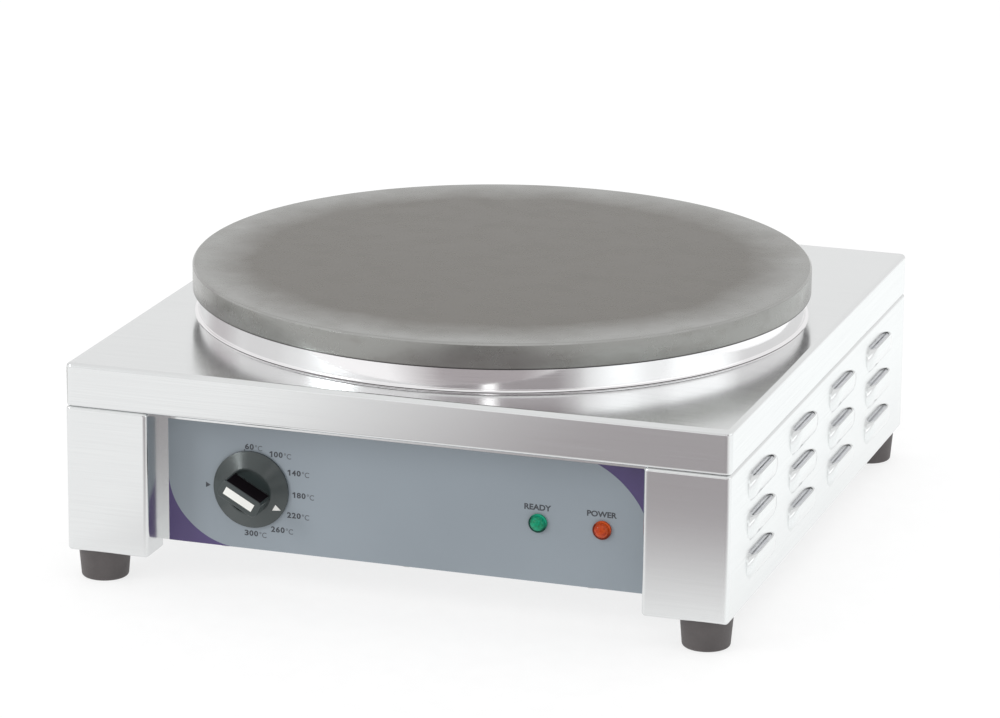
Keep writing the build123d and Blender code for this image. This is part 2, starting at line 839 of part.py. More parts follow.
capillary_end = control_height + lead_exit
capillary_route = [
    (bulb_length / 2, bulb_y, bulb_level),
    (capillary_x, bulb_y, bulb_level),
    (capillary_x, bulb_y, capillary_low),
    *capillary_way,
    (knob_x, thermostat_back + capillary_end_run, capillary_end),
    (knob_x, thermostat_back, capillary_end),
]
finish(tube(capillary_route, capillary_radius), "capillary_tube")

# ---------------------------------------------------------------- front controls
with BuildPart() as fascia_overlay:
    with BuildSketch(upright_plane(0, fascia_y)):
        with Locations((0, (fascia_bottom + overlay_top) / 2)):
            Rectangle(2 * overlay_half_width, overlay_top - fascia_bottom)
        with Locations((knob_x, control_height)):
            Circle(shaft_hole_radius, mode=Mode.SUBTRACT)
        with Locations(*screw_points):
            Circle(screw_radius, mode=Mode.SUBTRACT)
        with Locations((ready_x, lamp_height), (power_x, lamp_height)):
            Circle(lamp_stem_radius + lamp_hole_gap, mode=Mode.SUBTRACT)
    extrude(amount=overlay_thickness)
finish(fascia_overlay.part, "fascia_overlay")

stem_length = overlay_thickness + sheet
dome_rise = lamp_dome_height - lamp_flange_height
dome_ball = (lamp_dome_radius**2 + dome_rise**2) / (2 * dome_rise)
dome_centre = lamp_dome_height - dome_ball
dome_mid = (asin((lamp_flange_height - dome_centre) / dome_ball) + radians(90)) / 2
for lamp_name, x in (("ready", ready_x), ("power", power_x)):
    with BuildPart() as lens:
        with BuildSketch(forward_plane(x, overlay_y, lamp_height)):
            with BuildLine():
                Polyline(
                    (0, lamp_dome_height), (0, -stem_length), (lamp_stem_radius, -stem_length),
                    (lamp_stem_radius, 0), (lamp_flange_radius, 0),
                    (lamp_flange_radius, lamp_flange_height), (lamp_dome_radius, lamp_flange_height),
                )
                ThreePointArc(
                    (lamp_dome_radius, lamp_flange_height),
                    (dome_ball * cos(dome_mid), dome_centre + dome_ball * sin(dome_mid)),
                    (0, lamp_dome_height),
                )
            make_face()
        revolve(axis=Axis((x, 0, lamp_height), (0, -1, 0)))
    finish(lens.part, f"{lamp_name}_lamp_lens")
    with BuildPart() as lamp_body:
        with BuildSketch(upright_plane(x, thermostat_front, lamp_height)):
            Circle(lamp_stem_radius)
        extrude(amount=-lamp_body_length)
    finish(lamp_body.part, f"{lamp_name}_lamp_body")

with BuildPart() as lamp_nuts:
    with BuildSketch(upright_plane(0, thermostat_front)):
        with Locations((ready_x, lamp_height), (power_x, lamp_height)):
            RegularPolygon(lamp_nut_radius, 6, major_radius=False)
        with Locations((ready_x, lamp_height), (power_x, lamp_height)):
            Circle(lamp_stem_radius, mode=Mode.SUBTRACT)
    extrude(amount=-lamp_nut_height)
finish(lamp_nuts.part, "lamp_nuts")

# ---------------------------------------------------------------- knob, turned as one body
skirt_top = knob_gap + skirt_edge
well_floor = rim_height - well_depth
cavity_top = well_floor - knob_wall
cone_slope = (rim_height - skirt_top) / (skirt_radius - rim_radius)
cavity_rim = skirt_radius - knob_wall
cavity_shoulder = skirt_radius - (cavity_top + knob_wall - skirt_top) / cone_slope
cavity_edge = skirt_top + (skirt_radius - cavity_rim) * cone_slope - knob_wall / 2
knob_plane = forward_plane(knob_x, overlay_y, control_height)
knob_face = upright_plane(knob_x, overlay_y, control_height)

knob_turning = turned(
    knob_plane,
    [
        (0, knob_gap), (hub_radius, knob_gap), (hub_radius, cavity_top),
        (cavity_shoulder, cavity_top), (cavity_rim, cavity_edge),
        (cavity_rim, knob_gap), (skirt_radius, knob_gap), (skirt_radius, skirt_top),
        (rim_radius, rim_height), (well_radius, rim_height), (well_radius, well_floor),
        (0, well_floor),
    ],
)

with BuildPart() as control_knob:
    add(knob_turning)
    with BuildSketch(knob_face.offset(well_floor)):
        with Locations(Location((0, 0, 0), (0, 0, pointer_angle))):
            RectangleRounded(bar_length, bar_width, bar_corner)
    extrude(amount=knob_height - well_floor)
    fillet(control_knob.faces().sort_by(Axis.Y)[0].edges(), bar_edge)
    with BuildSketch(knob_face.offset(knob_height)):
        with Locations(Location((0, 0, 0), (0, 0, pointer_angle))):
            Rectangle(insert_length, insert_width)
    extrude(amount=-insert_depth, mode=Mode.SUBTRACT)
    with BuildSketch(knob_face.offset(knob_gap)):
        Circle(shaft_radius)
    extrude(amount=shaft_in_knob, mode=Mode.SUBTRACT)
finish(control_knob.part, "control_knob")

with BuildPart() as knob_insert:
    with BuildSketch(knob_face.offset(knob_height - insert_depth)):
        with Locations(Location((0, 0, 0), (0, 0, pointer_angle))):
            Rectangle(insert_length, insert_width)
    extrude(amount=insert_depth + insert_stand)
finish(knob_insert.part, "knob_insert")

pointer_band = turned(
    knob_plane,
    [
        (skirt_radius, skirt_top), (skirt_radius, skirt_top + pointer_thickness),
        (rim_radius, rim_height + pointer_thickness), (rim_radius, rim_height),
    ],
)
pointer_outline = [
    (pointer_base_radius, -pointer_width / 2),
    (pointer_tip_radius, 0.0),
    (pointer_base_radius, pointer_width / 2),
]
with BuildPart() as knob_pointer:
    with BuildSketch(knob_face):
        with Locations(Location((0, 0, 0), (0, 0, pointer_angle))):
            Polygon(*pointer_outline, align=None)
    extrude(amount=knob_height)
    add(pointer_band, mode=Mode.INTERSECT)
finish(knob_pointer.part, "knob_pointer")

with BuildPart() as thermostat_shaft:
    with BuildSketch(knob_face.offset(knob_gap + shaft_in_knob)):
        Circle(shaft_radius)
    extrude(amount=-(knob_gap + shaft_in_knob + overlay_thickness + sheet + shaft_in_body))
finish(thermostat_shaft.part, "thermostat_shaft")

# ---------------------------------------------------------------- back of the case
with BuildPart() as cable_gland:
    with BuildSketch(Plane(origin=(gland_x, back_y - gland_inside, gland_height), z_dir=(0, 1, 0))):
        Circle(gland_thread_radius)
    extrude(amount=gland_inside)
    with BuildSketch(Plane(origin=(gland_x, back_y, gland_height), z_dir=(0, 1, 0))):
        RegularPolygon(gland_across / 2, 6, major_radius=False)
    extrude(amount=gland_collar)
    with BuildSketch(Plane(origin=(gland_x, back_y + gland_collar, gland_height), z_dir=(0, 1, 0))):
        Circle(gland_across / 2 - sheet)
    extrude(amount=gland_dome)
    fillet(cable_gland.faces().sort_by(Axis.Y)[-1].edges(), bend_radius)
    with BuildSketch(Plane(origin=(gland_x, back_y - gland_inside, gland_height), z_dir=(0, 1, 0))):
        Circle(gland_bore_radius)
    extrude(amount=gland_inside + gland_collar + gland_dome, mode=Mode.SUBTRACT)
finish(cable_gland.part, "cable_gland")

with BuildPart() as gland_locknut:
    with BuildSketch(Plane(origin=(gland_x, back_y - sheet, gland_height), z_dir=(0, -1, 0))):
        RegularPolygon(gland_across / 2, 6, major_radius=False)
        Circle(gland_thread_radius, mode=Mode.SUBTRACT)
    extrude(amount=locknut_height)
finish(gland_locknut.part, "gland_locknut")

post_plane_out = Plane(origin=(post_x, back_y, post_height), z_dir=(0, 1, 0))
with BuildPart() as bonding_post:
    with BuildSketch(post_plane_out.offset(-sheet - post_nut_height)):
        RegularPolygon(post_nut_across / 2, 6, major_radius=False)
    extrude(amount=post_nut_height)
    with BuildSketch(post_plane_out.offset(-sheet)):
        Circle(post_shank_radius)
    extrude(amount=sheet + post_nut_height)
    with BuildSketch(post_plane_out.offset(post_nut_height)):
        Circle(post_radius)
    extrude(amount=post_length - post_nut_height)
finish(bonding_post.part, "bonding_post")

with BuildPart() as bonding_nut:
    with BuildSketch(post_plane_out):
        RegularPolygon(post_nut_across / 2, 6, major_radius=False)
        Circle(post_shank_radius, mode=Mode.SUBTRACT)
    extrude(amount=post_nut_height)
finish(bonding_nut.part, "bonding_nut")

# ---------------------------------------------------------------- inside the base
block_top = base_top + block_height
pole_xs = [block_x + k * block_pole_pitch for k in (-1, 0, 1)]
with BuildPart() as terminal_block:
    with BuildSketch(Plane.XY.offset(base_top)):
        with Locations((block_x, block_y)):
            RectangleRounded(block_width, block_depth, hem_radius)
    extrude(amount=block_height)
    with BuildSketch(Plane.XY.offset(block_top)):
        with Locations(*[(x, block_y) for x in pole_xs]):
            Circle(block_pole_radius)
    extrude(amount=-block_pole_depth, mode=Mode.SUBTRACT)
finish(terminal_block.part, "terminal_block")

with BuildPart() as safety_cutout:
    with BuildSketch(Plane.XY.offset(pan_bottom)):
        with Locations((cutout_x, plate_offset_y)):
            Circle(cutout_radius)
    extrude(amount=-cutout_height)
finish(safety_cutout.part, "safety_cutout")

lead_seat = block_top - block_pole_depth
supply_x = knob_x + lead_spread
switched_x = knob_x - lead_spread
lead_exit_y = thermostat_back + lead_run
exit_level = control_height - lead_exit
lug_x = link_low + link_lug
live_y = plate_offset_y - element_leg_spacing / 2
neutral_y = plate_offset_y + element_leg_spacing / 2
lead_routes = {
    "lead_supply_live": [
        (pole_xs[0], block_y, lead_seat), (pole_xs[0], block_y, supply_rise), *supply_way,
        (supply_x, lead_exit_y, exit_level), (supply_x, thermostat_back, exit_level),
    ],
    "lead_switched_live": [
        (switched_x, thermostat_back, exit_level), (switched_x, lead_exit_y, exit_level), *switched_way,
        (lug_x, live_y - switched_bow, switched_bow_height),
        (lug_x, live_y, link_bottom - switched_drop), (lug_x, live_y, link_bottom),
    ],
    "lead_neutral": [
        (pole_xs[1], block_y, lead_seat), (pole_xs[1], block_y, neutral_rise), *neutral_way,
        (lug_x, neutral_y + neutral_bow, neutral_bow_height),
        (lug_x, neutral_y, link_bottom - neutral_drop), (lug_x, neutral_y, link_bottom),
    ],
    "lead_earth": [
        (pole_xs[2], block_y, lead_seat), (pole_xs[2], block_y, earth_rise), *earth_way,
        (post_x, back_y - earth_run, post_height),
        (post_x, back_y - sheet - post_nut_height, post_height),
    ],
}
for lead_name, route in lead_routes.items():
    finish(tube(route, lead_radius), lead_name)
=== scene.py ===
"""Looks of an electric crepe maker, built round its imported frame.

Metres. +X is right seen from the controls, +Y is towards the back, +Z is up, and the origin lies on
the worktop under the middle of the case.
"""

import json
import logging
import math
from dataclasses import dataclass, field, replace
from enum import Enum, auto

import bmesh
import bpy
from mathutils import Matrix, Vector


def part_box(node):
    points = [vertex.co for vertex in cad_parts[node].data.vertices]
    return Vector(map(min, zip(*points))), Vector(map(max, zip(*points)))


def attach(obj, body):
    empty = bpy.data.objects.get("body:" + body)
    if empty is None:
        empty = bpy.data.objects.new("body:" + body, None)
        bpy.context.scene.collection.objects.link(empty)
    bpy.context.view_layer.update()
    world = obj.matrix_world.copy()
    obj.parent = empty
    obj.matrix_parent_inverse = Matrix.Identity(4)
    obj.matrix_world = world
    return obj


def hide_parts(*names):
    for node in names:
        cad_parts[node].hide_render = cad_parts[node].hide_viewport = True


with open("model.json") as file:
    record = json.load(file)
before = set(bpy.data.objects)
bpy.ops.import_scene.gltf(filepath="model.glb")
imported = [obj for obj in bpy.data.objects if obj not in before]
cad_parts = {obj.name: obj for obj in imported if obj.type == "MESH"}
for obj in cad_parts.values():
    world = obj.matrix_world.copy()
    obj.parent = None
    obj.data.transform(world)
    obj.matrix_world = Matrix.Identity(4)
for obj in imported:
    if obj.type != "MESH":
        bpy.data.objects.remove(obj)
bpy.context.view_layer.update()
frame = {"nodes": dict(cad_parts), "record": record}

MM = 0.001
WELD = 0.001 * MM
SHARP_ANGLE = math.radians(40)
WHITE = (1.0, 1.0, 1.0, 1.0)
SQUARE = ((-1, -1), (1, -1), (1, 1), (-1, 1))
LOG = logging.getLogger("crepe_maker")

Pair = tuple[float, float]
Colour = tuple[float, float, float]
Point = tuple[float, float, float]
Material = bpy.types.Material
Mesh = bpy.types.Mesh
Object = bpy.types.Object
Node = bpy.types.Node
Socket = bpy.types.NodeSocket
Source = Socket | float | tuple[float, ...]


class Maths(Enum):
    """What a recipe can do with one or two numbers."""

    ADD = auto()
    SUBTRACT = auto()
    MULTIPLY = auto()
    DIVIDE = auto()
    MAXIMUM = auto()
    MINIMUM = auto()
    ABSOLUTE = auto()
    POWER = auto()
    SQRT = auto()
    SINE = auto()
    GREATER_THAN = auto()


class Side(Enum):
    """The case's two sides, as the direction of each along X."""

    LEFT = -1
    RIGHT = 1


class Quarter(Enum):
    """Which quarter round a circle's centre a coloured corner lies in, as a sign."""

    LOWER_LEFT = -1.0
    UPPER_RIGHT = 1.0


# ---------------------------------------------------------------- material making
class Recipe:
    """One material's node tree, with short calls that add nodes and join them."""

    def __init__(self, name: str) -> None:
        """Start a material with a principled shader.

        Args:
            name: The material's name.
        """
        self.material = bpy.data.materials.new(name)
        self.material.use_nodes = True
        self.tree = self.material.node_tree
        self.shader = self.tree.nodes["Principled BSDF"]
        self.place = self.tree.nodes.new("ShaderNodeTexCoord").outputs["Object"]

    def add(self, kind: str, *sources: Source, **settings: str) -> Node:
        """Add a node.

        Args:
            kind: The node's type name, after "ShaderNode".
            sources: What its first inputs are fed with, in their order.
            settings: Attributes of the node, and their values.

        Returns:
            The new node.
        """
        node = self.tree.nodes.new("ShaderNode" + kind)
        for name, value in settings.items():
            setattr(node, name, value)
        for socket, source in zip(node.inputs, sources):
            self.feed(socket, source)
        return node

    def feed(self, socket: Socket, source: Source) -> None:
        """Link a socket from an output, or set its value.

        Args:
            socket: The input to feed.
            source: An output socket, or a plain value.
        """
        if isinstance(source, Socket):
            self.tree.links.new(source, socket)
        else:
            socket.default_value = source

    def fed(self, node: Node, **sources: Source) -> Node:
        """Feed some of a node's inputs.

        Args:
            node: The node.
            sources: The inputs' names, with underscores for spaces, and what each is fed with.

        Returns:
            The same node.
        """
        for name, source in sources.items():
            self.feed(node.inputs[name.replace("_", " ")], source)
        return node

    def surface(self, **sources: Source) -> None:
        """Feed the shader's inputs, given with underscores for spaces."""
        self.fed(self.shader, **sources)

    def stretched(self, stretch: Point, shift: Point = (0.0, 0.0, 0.0)) -> Socket:
        """Scale the surface's own coordinates.

        Args:
            stretch: Features per metre along X, Y and Z.
            shift: Offset in metres before scaling.

        Returns:
            The scaled coordinates.
        """
        moved = self.add("VectorMath", self.place, shift, operation="ADD")
        return self.add("VectorMath", moved.outputs[0], stretch, operation="MULTIPLY").outputs[0]

    def noise(self, stretch: float | Point, detail: float = 3.0, rough: float = 0.5,
              shift: Point = (0.0, 0.0, 0.0)) -> Socket:
        """Add an uneven pattern.

        Args:
            stretch: Features per metre, the same all ways or along X, Y and Z.
            detail: How many finer layers it has.
            rough: How strong the finer layers are.
            shift: Offset in metres before scaling.

        Returns:
            Its value, around one half.
        """
        where = self.stretched(stretch if isinstance(stretch, tuple) else (stretch,) * 3, shift)
        node = self.fed(self.add("TexNoise"), Vector=where, Scale=1.0, Detail=detail, Roughness=rough)
        return node.outputs["Fac"]

    def ranged(self, value: Socket, low: float, high: float, start: float = 0.3, end: float = 0.7) -> Socket:
        """Map a value to a range.

        Args:
            value: What is mapped.
            low: The result at start.
            high: The result at end.
            start: The value that gives low.
            end: The value that gives high.

        Returns:
            The mapped and clamped value.
        """
        return self.add("MapRange", value, start, end, low, high).outputs[0]

    def maths(self, operation: Maths, a: Source, b: Source = 0.0) -> Socket:
        """Combine two numbers.

        Args:
            operation: What is done with them.
            a: The first socket or value.
            b: The second socket or value, where the operation has one.

        Returns:
            The result.
        """
        return self.add("Math", a, b, operation=operation.name).outputs[0]

    def product(self, *factors: Source) -> Socket:
        """Multiply numbers.

        Args:
            factors: Two or more sockets or values.

        Returns:
            Their product.
        """
        result = factors[0]
        for factor in factors[1:]:
            result = self.maths(Maths.MULTIPLY, result, factor)
        return result

    def distance(self, across: Socket, up: Socket) -> Socket:
        """Work out how far a point is from the place where both numbers are nothing.

        Args:
            across: Its first coordinate from there.
            up: Its second coordinate from there.

        Returns:
            The distance.
        """
        squares = self.maths(Maths.ADD, self.product(across, across), self.product(up, up))
        return self.maths(Maths.SQRT, squares)

    def mixed(self, share: Source, a: Source, b: Source) -> Socket:
        """Mix two colours.

        Args:
            share: How much of the second there is.
            a: The first colour.
            b: The second colour.

        Returns:
            The mixed colour.
        """
        colours = [(*colour, 1.0) if isinstance(colour, tuple) else colour for colour in (a, b)]
        return self.add("MixRGB", share, *colours).outputs[0]

    def split(self, vector: Socket | None = None) -> list[Socket]:
        """Take a vector apart.

        Args:
            vector: The vector; the surface's own place in metres if none is given.

        Returns:
            Its X, Y and Z.
        """
        return list(self.add("SeparateXYZ", vector or self.place).outputs)

    def bumped(self, height: Socket, strength: float, depth: float) -> None:
        """Raise the surface by a height pattern.

        Args:
            height: The pattern, from 0 to 1.
            strength: How much of it shows.
            depth: Its full height in metres.
        """
        node = self.fed(self.add("Bump"), Strength=strength, Distance=depth, Height=height)
        self.surface(Normal=node.outputs[0])


# ---------------------------------------------------------------- finishes
@dataclass(frozen=True)
class Finish:
    """What a piece is finished in; each kind fills its recipe in its own way."""

    name: str

    def material(self) -> Material:
        """Make the finished material.

        Returns:
            The material.
        """
        recipe = Recipe(self.name)
        self.fill(recipe)
        return recipe.material

    def fill(self, recipe: Recipe) -> None:
        """Put the finish's nodes in its recipe."""
        raise NotImplementedError(f"{self.name} has no recipe")


@dataclass(frozen=True)
class BrushedSteel(Finish):
    """Sheet steel with a grain that runs along the sheet and soft uneven patches."""

    bright: Colour
    dull: Colour
    smooth: float = 0.15
    rough: float = 0.21
    grain_length: float = 80.0 * MM
    grain_width: float = 0.6 * MM
    patch: float = 120.0 * MM
    patch_shade: Pair = (0.75, 1.15)
    facing_share: float = 0.7
    brushed: float = 0.35
    relief: float = 0.1
    depth: float = 0.003 * MM

    def fill(self, recipe: Recipe) -> None:
        """Lay the grain along X on fronts and tops and along Y on sides, and brush the level faces.

        Args:
            recipe: The material in hand.
        """
        along, across = 1.0 / self.grain_length, 1.0 / self.grain_width
        fronts = recipe.noise((along, across, across))
        sides = recipe.noise((across, along, across))
        normal_x, _, normal_z = recipe.split(recipe.add("NewGeometry").outputs["True Normal"])
        sideways = recipe.maths(Maths.GREATER_THAN, recipe.maths(Maths.ABSOLUTE, normal_x), self.facing_share)
        level = recipe.maths(Maths.GREATER_THAN, recipe.maths(Maths.ABSOLUTE, normal_z), self.facing_share)
        grain = recipe.mixed(sideways, fronts, sides)
        patches = recipe.noise(1.0 / self.patch, 2.0)
        both = recipe.product(grain, recipe.ranged(patches, *self.patch_shade))
        across_grain = recipe.add("CombineXYZ", 0.0, level, recipe.maths(Maths.SUBTRACT, 1.0, level))
        recipe.surface(Base_Color=recipe.mixed(recipe.ranged(both, 0.0, 1.0), self.bright, self.dull),
                       Roughness=recipe.ranged(both, self.smooth, self.rough), Metallic=1.0,
                       Tangent=across_grain.outputs[0], Anisotropic=recipe.product(level, self.brushed))
        recipe.bumped(grain, self.relief, self.depth)


@dataclass(frozen=True)
class PolishedSteel(Finish):
    """Bright rolled steel with faint lines round its axis."""

    colour: Colour
    tint: Colour
    smooth: float = 0.06
    rough: float = 0.14
    line_stretch: Point = (4.0, 4.0, 1400.0)
    cloud_stretch: Point = (14.0, 14.0, 30.0)
    relief: float = 0.05
    depth: float = 0.004 * MM

    def fill(self, recipe: Recipe) -> None:
        """Cloud the colour and draw the rolled lines.

        Args:
            recipe: The material in hand.
        """
        lines = recipe.noise(self.line_stretch, 2.0)
        clouds = recipe.noise(self.cloud_stretch)
        recipe.surface(Base_Color=recipe.mixed(recipe.ranged(clouds, 0.0, 1.0), self.colour, self.tint),
                       Roughness=recipe.ranged(lines, self.smooth, self.rough), Metallic=1.0)
        recipe.bumped(lines, self.relief, self.depth)


@dataclass(frozen=True)
class SeasonedIron(Finish):
    """Machined cast iron plate: grey at the rim, browned by use, with a worn upper edge that also carries a
    painted highlight, and a painted shadow along its foot.
    """

    centre_y: float
    radius: float
    bottom: float
    top: float
    rim: Colour = (0.310, 0.311, 0.298)
    browned: Colour = (0.085, 0.073, 0.056)
    stain: Colour = (0.255, 0.250, 0.236)
    # the upper edge's bright colour: partly rubbed wear, partly a painted highlight on the chamfer
    worn_edge: Colour = (0.43, 0.43, 0.42)
    # painted shadow: a dark band along the plate's foot, where the gap under the plate lies in shade
    soot: Colour = (0.035, 0.030, 0.032)
    brown_to: float = 158.0 * MM
    brown_from: float = 194.0 * MM
    wander: float = 7.0 * MM
    cloud_stretch: Point = (18.0, 18.0, 40.0)
    blotch_scale: float = 45.0
    wear_stretch: Point = (26.0, 26.0, 60.0)
    wear_shift: Point = (0.31, 0.17, 0.0)
    wear_from: float = 0.50
    wear_to: float = 0.68
    wear_share: float = 0.75
    brown_stain: float = 0.16
    edge_width: float = 1.3 * MM
    edge_solid: float = 0.7
    edge_rubbed: float = 0.45
    soot_rise: float = 1.2 * MM
    soot_solid: float = 0.4
    soot_share: float = 0.9
    ring_pitch: float = 0.9 * MM
    ring_share: float = 0.25
    grit_scale: float = 1500.0
    smooth: float = 0.22
    rough: float = 0.31
    metal: float = 0.92
    relief: float = 0.04
    depth: float = 0.03 * MM

    def fill(self, recipe: Recipe) -> None:
        """Season the face, paint the upper edge bright as wear and painted highlight, paint a shadow along
        the foot and turn fine rings in the top.

        Args:
            recipe: The material in hand.
        """
        x, y, z = recipe.split()
        radius = recipe.distance(x, recipe.maths(Maths.SUBTRACT, y, self.centre_y))
        clouds = recipe.noise(self.cloud_stretch, 5.0, 0.6)
        blotches = recipe.noise(self.blotch_scale, 6.0, 0.65)
        worn = recipe.noise(self.wear_stretch, 4.0, 0.6, self.wear_shift)
        wandering = recipe.maths(Maths.ADD, radius, recipe.ranged(clouds, -self.wander, self.wander))
        use = recipe.ranged(wandering, 1.0, 0.0, self.brown_to, self.brown_from)
        wear = recipe.ranged(worn, 0.0, self.wear_share, self.wear_from, self.wear_to)
        grey = recipe.mixed(wear, self.rim, self.stain)
        brown = recipe.mixed(recipe.ranged(blotches, 0.0, self.brown_stain), self.browned, self.stain)
        # the upper edge is painted bright, partly as rubbed wear and partly as a painted highlight on the
        # chamfer
        solid = self.edge_width * self.edge_solid
        outer = recipe.ranged(radius, 0.0, 1.0, self.radius - self.edge_width, self.radius - solid)
        upper = recipe.ranged(z, 0.0, 1.0, self.top - self.edge_width, self.top - solid)
        edge = recipe.product(outer, upper, recipe.ranged(blotches, self.edge_rubbed, 1.0))
        face = recipe.mixed(edge, recipe.mixed(use, grey, brown), self.worn_edge)
        # painted shadow along the plate's foot, darkest at the very bottom
        foot = recipe.ranged(z, self.soot_share, 0.0, self.bottom + self.soot_rise * self.soot_solid,
                             self.bottom + self.soot_rise)
        rings = recipe.maths(Maths.SINE, recipe.product(radius, 2 * math.pi / self.ring_pitch))
        grit = recipe.noise(self.grit_scale)
        height = recipe.maths(Maths.ADD, recipe.product(rings, self.ring_share), grit)
        recipe.surface(Base_Color=recipe.mixed(foot, face, self.soot), Metallic=self.metal,
                       Roughness=recipe.ranged(blotches, self.smooth, self.rough))
        recipe.bumped(height, self.relief, self.depth)


@dataclass(frozen=True)
class FilmCorner:
    """A coloured corner of the film: the part of one quarter that lies outside a circle."""

    centre_x: float
    centre_z: float
    radius: float
    quarter: Quarter
    tip: float = 0.0
    tip_share: float = 0.7

    def cover(self, recipe: Recipe) -> Socket:
        """Find where the corner is.

        Args:
            recipe: The material in hand.

        Returns:
            1 in the corner and 0 elsewhere.
        """
        x, _, z = recipe.split()
        sign = self.quarter.value
        across = recipe.product(recipe.maths(Maths.SUBTRACT, x, self.centre_x), sign)
        up = recipe.product(recipe.maths(Maths.SUBTRACT, z, self.centre_z), sign)
        near_tip = recipe.ranged(across, self.tip, 0.0, 0.0, self.radius * self.tip_share)
        tall = recipe.product(up, recipe.maths(Maths.SUBTRACT, 1.0, near_tip))
        outside = recipe.maths(Maths.GREATER_THAN, recipe.distance(across, tall), self.radius)
        inside_quarter = recipe.maths(Maths.GREATER_THAN, recipe.maths(Maths.MINIMUM, across, up), 0.0)
        return recipe.product(outside, inside_quarter)


@dataclass(frozen=True)
class TwoToneFilm(Finish):
    """Satin printed film with two corners of another colour."""

    colour: Colour
    corner: Colour
    corners: tuple[FilmCorner, FilmCorner]
    smooth: float = 0.36
    rough: float = 0.48
    grain_scale: float = 2500.0
    cloud_scale: float = 9.0
    cloud_share: float = 0.10
    relief: float = 0.08
    depth: float = 0.02 * MM

    def fill(self, recipe: Recipe) -> None:
        """Cloud the film a little and print its corners.

        Args:
            recipe: The material in hand.
        """
        corners = recipe.maths(Maths.MAXIMUM, *(corner.cover(recipe) for corner in self.corners))
        fine = recipe.noise(self.grain_scale, 2.0)
        broad = recipe.noise(self.cloud_scale, 2.0)
        shade = recipe.mixed(recipe.ranged(broad, 0.0, self.cloud_share), self.colour, (0.0, 0.0, 0.0))
        recipe.surface(Base_Color=recipe.mixed(corners, shade, self.corner),
                       Roughness=recipe.ranged(fine, self.smooth, self.rough))
        recipe.bumped(fine, self.relief, self.depth)


@dataclass(frozen=True)
class Moulded(Finish):
    """Moulded plastic, rubber or fibre: one colour, mottled a little, with a fine surface grain."""

    colour: Colour
    shade: Colour
    smooth: float
    rough: float
    grain: float = 0.6 * MM
    depth: float = 0.03 * MM
    mottle_scale: float = 60.0
    relief: float = 0.25
    metallic: float = 0.0
    glow: float = 0.0

    def fill(self, recipe: Recipe) -> None:
        """Mottle the colour and grain the surface.

        Args:
            recipe: The material in hand.
        """
        fine = recipe.noise(1.0 / self.grain)
        broad = recipe.noise(self.mottle_scale)
        recipe.surface(Base_Color=recipe.mixed(recipe.ranged(broad, 0.0, 1.0), self.colour, self.shade),
                       Roughness=recipe.ranged(fine, self.smooth, self.rough), Metallic=self.metallic,
                       Emission_Color=WHITE, Emission_Strength=self.glow)
        recipe.bumped(fine, self.relief, self.depth)


@dataclass(frozen=True)
class KnobPlastic(Finish):
    """Glossy knob plastic, with painted shade along one long side of the grip: dark, matt and with little
    sheen.
    """

    axis: Pair
    front: float
    colour: Colour = (0.034, 0.045, 0.045)
    shade: Colour = (0.028, 0.038, 0.038)
    # painted shade for the grip's upper long side, which lies in shade
    matt: Colour = (0.0065, 0.0040, 0.0058)
    grip_turn: float = 28.8
    grip_half_width: float = 5.75 * MM
    grip_height: float = 16.0 * MM
    side_gaps: Pair = (0.3 * MM, 0.1 * MM)
    top_gaps: Pair = (0.4 * MM, 1.2 * MM)
    foot_fade: float = 0.3 * MM
    smooth: float = 0.20
    rough: float = 0.27
    matt_rough: float = 0.4
    sheen: float = 0.5
    matt_sheen: float = 0.05
    index: float = 1.62
    grain_scale: float = 1600.0
    mottle_scale: float = 60.0
    relief: float = 0.25
    depth: float = 0.03 * MM

    def fill(self, recipe: Recipe) -> None:
        """Gloss the knob, and paint shade on the grip's upper long side between its top and its foot.

        Args:
            recipe: The material in hand.
        """
        x, y, z = recipe.split()
        across = recipe.maths(Maths.SUBTRACT, x, self.axis[0])
        up = recipe.maths(Maths.SUBTRACT, z, self.axis[1])
        turn = math.radians(self.grip_turn)
        out = recipe.maths(Maths.ADD, recipe.product(across, math.sin(turn)),
                           recipe.product(up, math.cos(turn)))
        start, end = (self.grip_half_width - gap for gap in self.side_gaps)
        beside = recipe.ranged(out, 0.0, 1.0, start, end)
        start, end = (self.front + gap for gap in self.top_gaps)
        below_top = recipe.ranged(y, 0.0, 1.0, start, end)
        foot = self.front + self.grip_height
        above_foot = recipe.ranged(y, 1.0, 0.0, foot - self.foot_fade, foot)
        # painted shade: the grip's upper long side is made dark, matt and dull where it lies in shade
        side = recipe.product(beside, recipe.product(below_top, above_foot))
        fine = recipe.noise(self.grain_scale)
        broad = recipe.noise(self.mottle_scale)
        body = recipe.mixed(recipe.ranged(broad, 0.0, 1.0), self.colour, self.shade)
        gloss = recipe.ranged(fine, self.smooth, self.rough)
        recipe.surface(Base_Color=recipe.mixed(side, body, self.matt), IOR=self.index,
                       Roughness=recipe.maths(Maths.ADD, gloss, recipe.product(side, self.matt_rough)),
                       Specular_IOR_Level=recipe.ranged(side, self.sheen, self.matt_sheen, 0.0, 1.0))
        recipe.bumped(fine, self.relief, self.depth)


